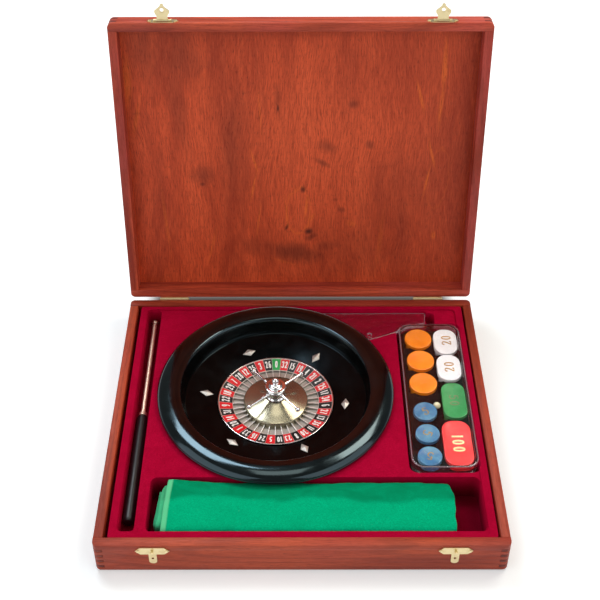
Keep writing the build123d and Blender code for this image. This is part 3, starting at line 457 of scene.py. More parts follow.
# Stained board: long soft bands of tone, growth lines as a sine of slow noise, fine
# fibres and short dark pores, all drawn out along the grain. Sawn ends are darker.
def stainedWood(name, look, grain="x", origin=(0, 0, 0), turn=(0, 0, 0)):
    material, tree, shader, place = newMaterial(name, Specular_IOR_Level=0.3)
    place = seenFrom(tree, place, origin, turn)

    def stretch(along, across):
        return (along, across, across) if grain == "x" else (across, along, across)

    tone = noise(tree, place, stretch(2.6, 40), 3, 0.55, 0.5)
    slow = noise(tree, place, stretch(1.6, 15), 1.5, 0.4)
    lines = calc(tree, "SINE", calc(tree, "MULTIPLY", slow, 95.0))
    fibre = noise(tree, place, stretch(60, 1300), 3, 0.65)
    pores = noise(tree, place, stretch(170, 2100), 2, 0.5)
    blush = noise(tree, place, (7, 9, 9), 2, 0.5)
    colour = stain(tree, tint(*look["dark"]), tone, 0.34, 0.68, 1.0, look["light"])
    colour = stain(tree, colour, blush, 0.45, 0.65, 0.5, look["blush"])
    colour = stain(tree, colour, lines, 0.2, 1.0, look["lines"], look["line"])
    colour = stain(tree, colour, fibre, 0.42, 0.68, look["fibre"], look["line"])
    colour = stain(tree, colour, pores, 0.6, 0.72, look["pores"], look["pore"])
    along = (1, 0, 0) if grain == "x" else (0, math.cos(turn[0]), math.sin(turn[0]))
    facing = vectorCalc(tree, "DOT_PRODUCT", shade(tree, "TexCoord").outputs["Normal"], along)
    facing = calc(tree, "ABSOLUTE", facing)
    colour = stain(tree, colour, facing, 0.7, 0.95, look["sawn"], look["pore"])
    coat(tree, shader, colour, fibre, 0.00012, 0.5, between(tree, fibre, 0.3, 0.7, (0.4, 0.6)))
    return material


# The stains of the boards: base, then the lid, whose pale and red tones are stronger.
woodLook = dict(light=(190, 78, 46), dark=(140, 46, 26), blush=(166, 60, 48), line=(104, 33, 22),
                pore=(64, 23, 22), lines=0.3, fibre=0.4, pores=0.5, sawn=0.6)
lidTurn = (math.radians(-97.89), 0, 0)
lidOrigin = (0, 0.1683, 0.04)
boardWood = stainedWood("boardWoodX", woodLook, "x")
sideWood = stainedWood("boardWoodY", woodLook, "y")
lidLook = dict(woodLook, light=(216, 92, 60), dark=(152, 52, 34), blush=(198, 80, 76))
lidWood = stainedWood("lidWoodX", lidLook, "x", lidOrigin, lidTurn)
lidSideWood = stainedWood("lidWoodY", lidLook, "y", lidOrigin, lidTurn)

# The lid's veneer. Knots, clouds and the painted shadow along the right and top edges are soft ovals, each
# row being x, y, half width, half height, turn in degrees and depth; streaks are the same in a lighter tone.
veneerLook = dict(
    light=(238, 102, 60),
    middle=(216, 84, 46),
    dark=(150, 50, 27),
    knot=(64, 26, 20),
    streak=(236, 110, 44),
    bright=(10, -200, 120, 105, 0, 0.5),
    # Painted shadow along the panel's right edge and its top edge, where the lid's boards shade it.
    paintedEdgeShade=[(182, -150, 78, 210, 0, 0.75), (150, -50, 110, 90, 0, 0.55), (120, -280, 90, 70, 0, 0.45),
          (0, -322, 190, 12, 0, 0.4)],
    knots=[(-23.8, -233, 1.6, 6.5, 0, 0.9), (-23.8, -240, 5, 22, 0, 0.35), (2.9, -134, 3.4, 4.2, 0, 0.8),
           (-15.5, -85, 2.0, 5.0, 20, 0.75), (9.0, -80, 5.5, 5.0, 0, 0.9), (12.5, -73, 9, 4.5, -30, 0.55),
           (55.4, -237, 6.5, 5.5, 10, 0.5), (74.9, -189, 5, 7, -35, 0.5), (28.0, -187, 14, 8, 25, 0.45),
           (24.0, -167, 9, 3.5, 30, 0.5), (-106, -152, 17, 13, -30, 0.42), (-107.5, -141, 4.5, 3, 0, 0.6),
           (-6, -52, 44, 15, 8, 0.6), (-52, -60, 20, 12, 30, 0.3), (30, -60, 26, 10, -15, 0.4),
           (46.0, -108, 5, 4, 30, 0.5), (39.0, -121, 3, 2.5, 0, 0.4), (-160, -300, 20, 40, 0, 0.4),
           (-120, -290, 26, 36, 0, 0.35), (-75, -190, 12, 70, 6, 0.28), (-128, -230, 10, 60, -4, 0.3),
           (100, -120, 50, 70, 10, 0.18), (60, -60, 60, 40, 0, 0.22)],
    streaks=[(-43.0, -226, 1.5, 26, -3, 0.5), (-50.5, -170, 1.4, 17, -16, 0.8),
             (-51.5, -138, 1.4, 20, 11, 0.7), (-46.5, -95, 1.3, 22, 7, 0.5), (-15.4, -106, 1.3, 19, -6, 0.6),
             (6.5, -112, 1.6, 18, 5, 0.7), (12.5, -98, 2.4, 8, 30, 0.5), (149.5, -280, 3.2, 34, 0, 0.75),
             (148.5, -235, 2.6, 30, 3, 0.65),
             (142, -178, 1.8, 22, -14, 0.7), (138, -142, 1.6, 20, 8, 0.7),
             (126, -247, 2.0, 20, -14, 0.7), (-181, -262, 4.5, 34, 2, 0.75),
             (-174, -222, 3, 26, 12, 0.5), (-150, -90, 2, 50, -4, 0.4),
             (150, -75, 3, 6, 0, 0.7), (-100, -60, 2, 30, 14, 0.35), (58, -90, 7, 5, 30, 0.45),
             (90, -70, 3, 40, 5, 0.3), (-20, -40, 16, 2, 20, 0.35)],
    loops=[(-2, -106, 13.5, 30, 0, 0.3), (150.5, -148, 10.5, 38, 4, 0.16)],
)


# Veneer: slow bands of tone bent by a sway, growth lines as a sine of slow noise, strands,
# fibres and pores drawn out along the lid's height, then the marks of the list above.
def lidVeneer(look):
    material, tree, shader, place = newMaterial("lidVeneer", Specular_IOR_Level=0.25)
    place = seenFrom(tree, place, lidOrigin, lidTurn)
    wobble = noise(tree, place, (90, 45, 0), 4, 0.65)

    # How near a point is to an oval: 1 in its middle, 0 at its edge, roughened by noise.
    def oval(row, edge, rough=1.2):
        x, y, w, h, turn, depth = row
        spot = seenFrom(tree, place, (x / 1000, y / 1000, 0), (0, 0, math.radians(turn)),
                        (w / 1000, h / 1000, 1000))
        uneven = calc(tree, "MULTIPLY", calc(tree, "SUBTRACT", wobble, 0.5), rough)
        far = calc(tree, "ADD", vectorCalc(tree, "LENGTH", spot), uneven)
        if edge:
            far = calc(tree, "ABSOLUTE", calc(tree, "SUBTRACT", far, 1.0))
            return between(tree, far, 0.0, edge, (depth, 0.0))
        return between(tree, far, 0.1, 1.3, (depth, 0.0))

    def deepest(rows, edge=0.0, rough=1.2):
        total = None
        for row in rows:
            one = oval(row, edge, rough)
            total = one if total is None else calc(tree, "MAXIMUM", total, one)
        return total

    knots, streaks = deepest(look["knots"]), deepest(look["streaks"])
    loops = deepest(look["loops"], 0.1, 0.8)
    sway = calc(tree, "MULTIPLY", calc(tree, "SUBTRACT", noise(tree, place, (7, 4, 0), 3, 0.5), 0.5), 0.05)
    bent = vectorCalc(tree, "ADD", place, shade(tree, "CombineXYZ", {0: sway}).outputs[0])
    tone = noise(tree, bent, (20, 3.2, 0), 4, 0.6, 0.3)
    lines = calc(tree, "SINE", calc(tree, "MULTIPLY", noise(tree, bent, (8, 1.6, 0), 1.5, 0.4), 110.0))
    fibre = noise(tree, bent, (1050, 60, 0), 3, 0.7)
    strands = noise(tree, bent, (380, 16, 0), 3, 0.6)
    pores = noise(tree, bent, (1500, 170, 0), 2, 0.5)
    colour = stain(tree, tint(*look["dark"]), tone, 0.26, 0.58, 1.0, look["middle"])
    colour = stain(tree, colour, tone, 0.45, 0.8, 0.7, look["light"])
    colour = mixed(tree, oval(look["bright"], 0, 0.3), colour, tint(*look["light"]))
    # Painted shadow: the panel darkens along its right and top edges.
    colour = mixed(tree, deepest(look["paintedEdgeShade"], rough=0.3), colour, tint(*look["dark"]))
    colour = stain(tree, colour, lines, 0.3, 1.0, 0.16, look["light"])
    colour = stain(tree, colour, strands, 0.42, 0.75, 0.42, look["dark"])
    colour = mixed(tree, streaks, colour, tint(*look["streak"]))
    colour = stain(tree, colour, fibre, 0.45, 0.68, 0.68, look["dark"])
    colour = stain(tree, colour, fibre, 0.5, 0.3, 0.3, look["light"])
    colour = stain(tree, colour, pores, 0.58, 0.72, 0.55, look["knot"])
    colour = mixed(tree, loops, colour, tint(*look["streak"]))
    colour = mixed(tree, knots, colour, tint(*look["knot"]))
    coat(tree, shader, colour, fibre, 0.0001, 0.5, between(tree, fibre, 0.3, 0.7, (0.42, 0.6)))
    return material


lidVeneerWood = lidVeneer(veneerLook)

# Flocked plastic: short pile as fine noise in colour and height, brushed one way or
# another in soft patches, with a sheen of its own colour, and painted shade that darkens it down in its
# wells.
def flocked(name, colour, shadow, sheen, paintedWellShade=0.0):
    material, tree, shader, place = newMaterial(name, Roughness=0.95, Sheen_Weight=sheen, Sheen_Roughness=0.4,
                                                Specular_IOR_Level=0.05)
    shader.inputs["Sheen Tint"].default_value = tint(*colour)
    pile = noise(tree, place, (1300, 1300, 1300), 3, 0.7)
    brushed = noise(tree, place, (38, 52, 45), 4, 0.65, 1.2)
    mix = stain(tree, tint(*shadow), pile, 0.3, 0.7, 1.0, colour)
    mix = stain(tree, mix, brushed, 0.35, 0.65, 0.45, shadow)
    # Painted shade: darker towards the bottom of the wells.
    mix = stain(tree, mix, heightOf(tree, place), 0.035, 0.008, paintedWellShade, [part * 0.5 for part in shadow])
    coat(tree, shader, mix, pile, 0.0004, 0.6)
    return material


trayFlock = flocked("trayFlock", (188, 8, 57), (148, 0, 38), 0.12, paintedWellShade=0.65)
insertFlock = flocked("insertFlock", (26, 23, 23), (12, 11, 12), 0.05)

# Metal: one tone with fine scratches in its gloss and faint tarnish in its colour, and
# painted shade that darkens it below the heights given, as on the pocket floors.
def metal(name, colour, dull, roughness, scratch=(900, 900, 60), spread=0.08, paintedHollowShade=None, metallic=1.0):
    material, tree, shader, place = newMaterial(name, Metallic=metallic)
    rub = noise(tree, place, scratch, 3, 0.6)
    cloud = noise(tree, place, (120, 120, 120), 3, 0.6)
    mix = stain(tree, tint(*colour), cloud, 0.45, 0.75, 0.5, dull)
    if paintedHollowShade:
        # Painted shade below the given heights.
        mix = stain(tree, mix, heightOf(tree, place), *paintedHollowShade, 1.0, [part * 0.84 for part in dull])
    gloss = between(tree, rub, 0.3, 0.7, (roughness, roughness + spread))
    coat(tree, shader, mix, rub, 0.00003, 0.25, gloss)
    return material


fittingBrass = metal("fittingBrass", (230, 212, 166), (196, 172, 118), 0.32)
bushBrass = metal("bushBrass", (220, 186, 110), (186, 150, 84), 0.3)
spindleSteel = metal("spindleSteel", (200, 202, 206), (160, 160, 164), 0.2)
turretChrome = metal("turretChrome", (238, 238, 240), (214, 214, 218), 0.06, spread=0.05)
# The pocket floors take painted shade below the frets' tops.
pocketAlloy = metal("pocketAlloy", (244, 244, 242), (214, 206, 198), 0.42, (1200, 1200, 1200),
                    paintedHollowShade=(0.0198, 0.0180))
coneChrome = metal("coneChrome", (168, 162, 140), (148, 142, 120), 0.18, (900, 900, 900), 0.05,
                   metallic=0.88)
satinSilver = metal("satinSilver", (226, 222, 216), (196, 190, 184), 0.5)
rotorAlloy = metal("rotorAlloy", (150, 150, 152), (120, 120, 122), 0.35)
rakeChrome = metal("rakeChrome", (255, 236, 216), (232, 204, 178), 0.42, (60, 900, 900))

# Glossy moulded or lacquered surface: nearly even colour, slight ripple, clear coat.
def lacquer(name, colour, deep, roughness, coating=0.3, speck=0.0, level=0.5, shine=(1, 1, 1, 1)):
    material, tree, shader, place = newMaterial(name, Coat_Weight=coating, Coat_Roughness=0.06,
                                                Specular_IOR_Level=level, Specular_Tint=shine)
    cloud = noise(tree, place, (70, 70, 70), 3, 0.55)
    grain = noise(tree, place, (2200, 2200, 2200), 2, 0.6)
    mix = stain(tree, tint(*deep), cloud, 0.35, 0.7, 1.0, colour)
    if speck:
        mix = stain(tree, mix, grain, 0.5, 0.75, speck, deep)
    gloss = between(tree, cloud, 0.3, 0.7, (roughness, roughness + 0.06))
    coat(tree, shader, mix, cloud, 0.00006, 0.3, gloss)
    return material


# coolShine tints the lacquers' reflections blue: a painted colour of the bluish lamps, which also mutes the
# lid's red in them.
coolShine = (0.55, 0.84, 1.0, 1.0)
bowlLacquer = lacquer("bowlLacquer", (8, 8, 8), (4, 4, 4), 0.14, 0.0, level=0.13, shine=coolShine)
rimLacquer = lacquer("rimLacquer", (5, 6, 6), (3, 3, 3), 0.1, 0.15, level=0.75, shine=coolShine)
handlePlastic = lacquer("handlePlastic", (22, 23, 27), (14, 14, 17), 0.34, 0.1)
chipOrange = lacquer("chipOrange", (250, 142, 14), (246, 128, 6), 0.3, 0.05, speck=0.2)
chipBlue = lacquer("chipBlue", (92, 146, 172), (44, 106, 150), 0.3, 0.05, speck=0.3)
chipWhite = lacquer("chipWhite", (244, 244, 246), (236, 236, 240), 0.3, 0.05, speck=0.1)
chipGreen = lacquer("chipGreen", (56, 152, 86), (40, 138, 72), 0.3, 0.05, speck=0.2)
chipRed = lacquer("chipRed", (240, 58, 58), (238, 46, 48), 0.3, 0.05, speck=0.15)
ballIvory = lacquer("ballIvory", (236, 228, 196), (222, 212, 176), 0.2, 0.3)
fieldRed = lacquer("fieldRed", (232, 16, 32), (216, 8, 24), 0.35, 0.0)
fieldBlack = lacquer("fieldBlack", (14, 13, 15), (8, 7, 8), 0.35, 0.0)
fieldGreen = lacquer("fieldGreen", (6, 168, 76), (4, 150, 64), 0.35, 0.0)
figureWhite = lacquer("figureWhite", (250, 248, 246), (238, 236, 234), 0.4, 0.0)
figureCream = lacquer("figureCream", (252, 230, 176), (240, 212, 150), 0.35, 0.0)
figureGold = lacquer("figureGold", (186, 142, 76), (164, 118, 52), 0.35, 0.1)
figureDull = lacquer("figureDull", (160, 140, 88), (146, 118, 66), 0.35, 0.1)
figureFaint = lacquer("figureFaint", (120, 128, 88), (110, 112, 78), 0.35, 0.0)
figureWarm = lacquer("figureWarm", (250, 144, 48), (244, 134, 36), 0.35, 0.0)

# Clear plastic: glass with a faint tint and hardly any roughness, which lets lamps through.
def clearPlastic(name, colour, roughness, clear=1.0, level=0.5):
    material, tree, shader, place = newMaterial(name, Transmission_Weight=clear, IOR=1.45,
                                                Roughness=roughness, Specular_IOR_Level=level)
    haze = noise(tree, place, (300, 300, 300), 3, 0.6)
    tree.links.new(mixed(tree, haze, tint(*colour), (1, 1, 1, 1)), shader.inputs["Base Color"])
    lamp = shade(tree, "LightPath").outputs["Is Shadow Ray"]
    through = shade(tree, "BsdfTransparent").outputs[0]
    both = shade(tree, "MixShader", {0: lamp, 1: shader.outputs[0], 2: through})
    tree.links.new(both.outputs[0], tree.nodes["Material Output"].inputs[0])
    return material


clearAcrylic = clearPlastic("clearAcrylic", (184, 186, 194), 0.03)
clearBox = clearPlastic("clearBox", (248, 246, 250), 0.02, level=0.12)
# A cloudy lilac finish for cut and rolled edges: partly frosted plastic, partly a painted highlight.
cutEdgeHighlight = clearPlastic("cutEdgeHighlight", (190, 150, 184), 0.25, 0.75)

# CAD nodes that show as they are, by finish.
plainFinish = (
    (boardWood, "base_bottom_panel"),
    (lidVeneerWood, "lid_panel"),
    (fittingBrass, "hinge_leaves_base hinge_leaves_lid hinge_pins hinge_screws_base hinge_screws_lid"),
    (fittingBrass, "catch_plate_left catch_plate_right catch_nails hasp_plate_left hasp_plate_right"),
    (fittingBrass, "hasp_nails hasp_pins hasp_leaf_left hasp_leaf_right"),
    (trayFlock, "tray_insert"),
    (spindleSteel, "spindle"),
    (rotorAlloy, "rotor_body"),
    (bushBrass, "rotor_bush"),
    (pocketAlloy, "pocket_ring"),
    (clearBox, "chip_box_tub"),
    (insertFlock, "chip_insert"),
)
for finish, names in plainFinish:
    for nodeName in names.split():
        for holder in nodes[nodeName].material_slots:
            holder.material = finish
print("scene: woods, brass, flock and plastics are mixed")

# Widths of the softened edges, in millimetres.
softEdges = dict(board=0.8, hingeSide=0.25, tray=0.9, head=0.45)


# The boards by side; the edges at the hinge are nearly sharp.
def smoothBoards(look):
    for part, body, slot, long, short in (("base", "case_base", "case_wood", boardWood, sideWood),
                                          ("lid", "lid", "lid_wood", lidWood, lidSideWood)):
        for side, wood in (("front", long), ("back", long), ("left", short), ("right", short)):
            name = side + "Board" if part == "base" else "lid" + side.capitalize() + "Board"
            width = look["hingeSide" if side == "back" else "board"]
            roundedCopy(name, f"{part}_{side}_board", body, slot, wood, width, 2, 40)


smoothBoards(softEdges)
roundedCopy("flockedTray", "tray_insert", "case_base", "tray_flock", trayFlock, softEdges["tray"])

wheelCentre = (-26.7, 28.5, 0)
bowlShape = dict(
    steps=192,
    inside=[(4.05, 13.5), (62.3, 13.5), (62.3, 23.0), (95.5, 29.6), (97.0, 34.0), (98.6, 40.6)],
    rim=[(98.6, 40.6), (98.9, 43.8), (100.3, 46.0), (103.6, 47.1), (108.0, 47.8), (112.6, 47.6),
         (117.0, 46.6), (121.0, 44.9), (123.6, 42.7), (124.2, 41.4), (123.6, 40.9)],
    outside=[(123.5, 40.4), (124.3, 40.0), (124.3, 38.8), (122.4, 38.4), (122.4, 36.8), (105, 36.8),
             (105, 12), (102, 9), (94, 9), (92, 22), (70, 17), (68, 9), (4.05, 9)],
)


# One closed profile turned round the wheel's axis: the inside and the outside with their
# corners rounded, and between them the rim as a smooth line through its points.
def buildBowl(look):
    inside = soften(look["inside"], [[0.2], [0.8], [0.8], [3.0], [2.0], [0.1]], 6)
    outside = soften(look["outside"], 0.5, 4)
    profile = np.vstack([inside[:-1], flowing(look["rim"], 10), outside])
    shape = turned(profile, wheelCentre, look["steps"], closed=True)
    piece = addPiece("wheelBowl", shape, "wheel", "wheel_lacquer", [bowlLacquer, rimLacquer], "wheel_bowl",
                     sharp=50, merge=False)
    row = np.arange(len(shape[1])) // look["steps"]
    onRim = (row >= len(inside) - 1) & (row < len(inside) + len(look["rim"]) * 10 + 8)
    paint(piece, onRim)


buildBowl(bowlShape)

rotorShape = dict(pockets=37, ringInner=45.7, ringOuter=60.2, lowZ=20.4, highZ=23.5, divider=0.28,
                  fieldWide=9.73, fieldSteps=[1.6, 3.2, 4.865, 6.5, 8.1], thick=1.6,
                  depth=[0, 0.35, 4.5, 9.0, 14.2, 14.5], figureRadius=53.2,
                  figure=(3.2, 9.0, 0.4, 0.8, 1.2))
wheelOrder = [0, 32, 15, 19, 4, 21, 2, 25, 17, 34, 6, 27, 13, 36, 11, 30, 8, 23, 10, 5, 24, 16, 33, 1, 20,
              14, 31, 9, 22, 18, 29, 7, 28, 12, 35, 3, 26]


# The number ring: a flat cone cut into 37 fields. Angles run clockwise from the back, and
# a field's cells take the colour of its pocket, with bright lines between and round them.
def buildNumberRing(look):
    n = look["pockets"]
    half, wide = look["divider"] / 2, look["fieldWide"]
    part = np.array([0, half, *look["fieldSteps"], wide - half]) / wide
    turn = (np.arange(n)[:, None] - 0.5 + part[None]) * 2 * math.pi / n
    cols = turn.size
    depth = np.array(look["depth"])
    slope = (look["highZ"] - look["lowZ"]) / (look["ringOuter"] - look["ringInner"])
    radius = np.concatenate([look["ringInner"] + depth, [look["ringOuter"], look["ringInner"]]])
    under = [look["highZ"] - look["thick"], look["lowZ"] - look["thick"]]
    height = np.concatenate([look["lowZ"] + depth * slope, under])
    angle = math.pi / 2 - turn.reshape(-1)
    x = wheelCentre[0] + radius[:, None] * np.cos(angle)
    y = wheelCentre[1] + radius[:, None] * np.sin(angle)
    points = np.stack([x, y, np.repeat(height[:, None], cols, 1)], -1).reshape(-1, 3)
    faces = gridFaces(len(radius), cols, True, True)
    cell = np.arange(cols)
    pocket, step = cell // len(part), cell % len(part)
    colour = np.where(pocket == 0, 3, np.where(pocket % 2 == 1, 1, 2))
    colour = np.where((step == 0) | (step == len(part) - 1), 0, colour)
    rows = np.zeros((len(radius), cols), int)
    rows[1:4] = colour
    piece = addPiece("numberRing", (points, faces.tolist()), "rotor", "number_enamel",
                     [satinSilver, fieldRed, fieldBlack, fieldGreen], "number_ring", sharp=30, merge=False)
    paint(piece, rows)
    shapes = []
    for i, number in enumerate(wheelOrder):
        flat, cells = figures(str(number), *look["figure"])
        turnTo = math.pi / 2 - i * 2 * math.pi / n
        out = np.array([math.cos(turnTo), math.sin(turnTo)])
        side = np.array([out[1], -out[0]])
        reach = look["figureRadius"] + flat[:, 1]
        aside = flat[:, :1] * side * reach[:, None] / look["figureRadius"]
        ground = np.array(wheelCentre[:2]) + reach[:, None] * out + aside
        lift = look["lowZ"] + (reach - look["ringInner"]) * slope + 0.05 + flat[:, 2]
        shapes.append((np.column_stack([ground, lift]), cells))
    addPiece("wheelNumbers", joined(shapes), "rotor", "chip_white", figureWhite, merge=False, turnOut=False)


buildNumberRing(rotorShape)

turretShape = dict(
    rim=[(60.3, 14.2), (60.3, 23.6), (60.5, 24.0), (61.2, 24.0), (61.5, 23.6), (61.5, 14.2)],
    cone=[(10.6, 17.0), (10.6, 30.3), (22, 26.3), (33.4, 23.4), (34.1, 22.7), (34.1, 16.45), (30, 16.45)],
    column=[(0, 30.35), (10.4, 30.35), (10.4, 31.4), (8.8, 33), (8.4, 34.4), (9.8, 36.2), (9.8, 40.6),
            (8.2, 42.2), (7.9, 43.4), (0, 43.4)],
    cap=[(0, 43.45), (10.3, 43.45), (10.9, 44), (10.9, 44.7), (10.2, 45.2), (7.2, 45.3), (6.9, 46.5),
         (5.6, 47.6), (3.6, 48.2), (0, 48.2)],
    neck=[(0, 48.25), (2.7, 48.25), (2.5, 48.5)],
    knob=(3.65, 52.0, -1.04, 22),
    arm=[(0, 9.0), (2.3, 9.0), (2.4, 10.1), (2.3, 11.8), (1.9, 12.0), (1.9, 17.6), (1.7, 17.9), (1.3, 18.0),
         (1.3, 33.5)],
    armBall=(2.6, 35.9, -1.05, 16),
    armTurn=40.6,
    armHeight=38.5,
)


# Turned profiles with rounded corners, one above the other; the knob and the arms' balls
# are part circles, and the arms are one profile laid flat at four quarter turns.
def buildTurret(look):
    def stand(name, profile, steps, node, finish=turretChrome, closed=False, sharp=60):
        shape = turned(profile, wheelCentre, steps, closed=closed)
        addPiece(name, shape, "rotor", "wheel_chrome", finish, node, sharp=sharp)

    stand("rotorRim", soften(look["rim"], 0.25, 4, True), 160, "rotor_rim", closed=True)
    cone = soften(look["cone"], [[0.1], [0.6], [5.0], [1.5], [0.5], [0.3], [0.1]], 8, True)
    stand("polishedCone", cone, 160, "rotor_cone", coneChrome, True)
    stand("turretColumn", soften(look["column"], 0.9, 6), 96, "turret_column")
    stand("turretCap", soften(look["cap"], 0.7, 6), 96, "turret_cap")
    stand("turretKnob", np.vstack([look["neck"], dome(*look["knob"])]), 64, "turret_finial", sharp=70)
    profile = np.vstack([soften(look["arm"], 0.25, 4)[:-1], dome(*look["armBall"])])
    middle = (*wheelCentre[:2], look["armHeight"])
    shapes = []
    for k in range(4):
        turn = math.radians(look["armTurn"] + 90 * k)
        shapes.append(turned(profile, middle, 32, (math.cos(turn), math.sin(turn), 0), (0, 0, 1)))
    addPiece("turretArms", joined(shapes), "rotor", "wheel_chrome", turretChrome, "turret_arms", sharp=60)


buildTurret(turretShape)

# Six stops on the apron: flat pyramids on a rhombus, laid on the cone and softly bevelled.
stopShape = dict(radius=74.0, ground=25.33, long=15.2, wide=8.8, rise=2.3, first=-6.0,
                 slope=math.atan2(6.6, 33.2))


def buildStops(look):
    shapes = []
    ring = np.array([[1.0, 0], [0, 1.0], [-1.0, 0], [0, -1.0]])
    for i in range(6):
        turn = math.radians(look["first"] + 60 * i)
        c, s, level = math.cos(turn), math.sin(turn), math.cos(look["slope"])
        out = np.array([c * level, s * level, math.sin(look["slope"])])
        side = np.array([-s, c, 0])
        up = np.cross(out, side)
        longWay, wideWay = (side, out) if i % 2 == 0 else (out, side)
        middle = np.array([wheelCentre[0] + look["radius"] * c, wheelCentre[1] + look["radius"] * s,
                           look["ground"]])
        rows = [(1.0, -0.3), (1.0, 0.35), (0.95, 0.6), (0.5, look["rise"] * 0.62), (0.1, look["rise"])]
        rhombus = ring[:, :1] * look["long"] / 2 * longWay + ring[:, 1:] * look["wide"] / 2 * wideWay
        loops = [middle + scale * rhombus + lift * up for scale, lift in rows]
        faces = gridFaces(len(rows), 4, False, True).tolist()
        last = 4 * (len(rows) - 1)
        shapes.append((np.vstack(loops), faces + [[3, 2, 1, 0], [last, last + 1, last + 2, last + 3]]))
    piece = addPiece("bowlStops", joined(shapes), "wheel", "wheel_chrome", satinSilver, "bowl_diamonds",
                     sharp=8)
    edge = piece.modifiers.new("edge", "BEVEL")
    edge.width, edge.segments, edge.limit_method = 0.00018, 2, "ANGLE"


buildStops(stopShape)
print("scene: wheel, rotor and turret are turned")

rakeShape = dict(
    axis=(-166.0, 0, 22.0),
    handle=[(0, -128.3), (3.4, -128.2), (5.0, -127.2), (5.8, -124.6), (5.8, -60), (5.55, -20), (5.4, 3.6),
            (4.9, 5.4), (4.2, 6.2), (0, 6.2)],
    ferrule=[(2.6, 6.3), (4.3, 6.3), (4.4, 7.4), (4.0, 8.0), (3.9, 10.6), (3.4, 11.4), (2.9, 11.7),
             (2.6, 11.7)],
    outer=[(2.1, 6.3), (2.55, 6.4), (2.55, 140.6), (2.4, 141.0), (2.1, 141.0)],
    middle=[(0, 20), (2.0, 20), (2.0, 141.2), (2.65, 141.3), (2.7, 141.8), (2.7, 142.9), (2.5, 143.3),
            (1.5, 143.3)],
    tip=[(0, 30), (1.45, 30), (1.45, 144.4), (2.3, 144.6), (2.9, 145.4), (3.2, 146.6), (3.1, 148.4),
         (2.4, 149.4), (0, 149.5)],
)


# Five profiles with rounded corners, turned round the stick's axis; the handle and the two
# inner rods are closed at their ends.
def buildRake(look):
    for key, name, node, body, finish, closed in (
        ("handle", "rakeHandle", "rake_handle", "rake", handlePlastic, False),
        ("ferrule", "rakeFerrule", "rake_ferrule", "rake", rakeChrome, True),
        ("outer", "rakeOuterTube", "rake_outer_tube", "rake", rakeChrome, True),
        ("middle", "rakeMiddleTube", "rake_middle_tube", "rake_middle", rakeChrome, False),
        ("tip", "rakeTipRod", "rake_tip_rod", "rake_tip", rakeChrome, False),
    ):
        profile = soften(look[key], 0.5, 5, closed)
        if not closed:
            profile = np.vstack([profile, [(0, profile[-1, 1])]])
        shape = turned(profile, look["axis"], 48, (0, 1, 0), (1, 0, 0), closed)
        slot = "handle_plastic" if key == "handle" else "rake_chrome"
        addPiece(name, shape, body, slot, finish, node, sharp=50)


buildRake(rakeShape)


# The head's cut edges take a cloudy lilac finish of their own, partly the frosted cut and partly a painted
# highlight.
def layHead(look):
    piece = roundedCopy("rakeHead", "rake_head", "head", "clear_acrylic", clearAcrylic, look["head"], 2)
    piece.data.materials.append(cutEdgeHighlight)
    faces = piece.data.polygons
    normals = np.empty(len(faces) * 3)
    faces.foreach_get("normal", normals)
    paint(piece, np.abs(normals[2::3]) < 0.8)


layHead(softEdges)
print("scene: rake is laid in")

chipShape = dict(
    top=34.0, thick=3.1, gap=0.02,
    orange=dict(size=(29.5, 29.5, 14.7499), at=[(130.6, 108.8), (130.6, 75.6), (130.6, 42.2)]),
    blue=dict(size=(24.5, 24.5, 12.2499), at=[(129.2, 2.7), (129.0, -27.2), (128.7, -56.6)]),
    white=dict(size=(25.6, 37.6, 11.6), at=[(160.2, 104.4), (160.2, 65.0)]),
    green=dict(size=(24.8, 48.6, 10.5), at=[(160.8, 17.6)]),
    red=dict(size=(29.2, 58.0, 12.0), at=[(158.2, -39.6)]),
)


# A pile of four: each chip has round edges and a shallow dish inside a raised rim.
def buildPiles(look):
    for key, kind, finish in (("orange", "chips", chipOrange), ("blue", "chips", chipBlue),
                              ("white", "plaques", chipWhite), ("green", "plaques", chipGreen),
                              ("red", "plaques", chipRed)):
        shapes = []
        for x, y in look[key]["at"]:
            for level in range(4):
                top = look["top"] - level * look["thick"]
                low = top - look["thick"] + look["gap"]
                rows = [(2.4, low + 0.14), (1.9, low), (0.5, low), (0.15, low + 0.15), (0, low + 0.5),
                        (0, top - 0.5), (0.15, top - 0.15), (0.5, top), (1.9, top), (2.4, top - 0.14)]
                spot = x + 0.12 * math.sin(7 * level + x), y + 0.12 * math.cos(5 * level + y)
                shapes.append(pressed(look[key]["size"], rows, spot, 14))
        addPiece(key + "Pile", joined(shapes), "chip_box", "chip_" + key, finish, f"{key}_{kind}", sharp=40)


buildPiles(chipShape)

# The clear lid: a thin shell, its top edge rolled over and a little cloudy, with a lilac band there as a
# painted highlight.
lidShape = dict(size=(67.0, 201.6, 13.0), centre=(142.7, 25.8), top=40.0, wall=1.2, skirt=29.5,
                perCorner=14)


def buildClearLid(look):
    top, wall = look["top"], look["wall"]
    low, under = look["skirt"], look["top"] - wall
    rolled = [(2.2, 0), (1.5, 0), (1.05, 0.04), (0.55, 0.2), (0.2, 0.55), (0.04, 1.05), (0, 1.5)]
    rows = [(inset, top - fall) for inset, fall in rolled]
    rows += [(0, low + 0.3), (0.3, low), (wall - 0.3, low), (wall, low + 0.3), (wall, under - 0.6),
             (wall + 0.2, under - 0.15), (wall + 0.6, under), (wall + 1.2, under)]
    shape = pressed(look["size"], rows, look["centre"], look["perCorner"])
    piece = addPiece("chipBoxLid", shape, "chip_lid", "clear_box", [clearBox, cutEdgeHighlight], "chip_box_lid",
                     sharp=60, merge=False)
    # Rows 2 to 4 are the rolled edge with its painted highlight; the flat faces come last in the list and
    # stay clear.
    row = np.arange(len(shape[1])) // (4 * look["perCorner"])
    paint(piece, (row > 1) & (row < 5))


buildClearLid(lidShape)

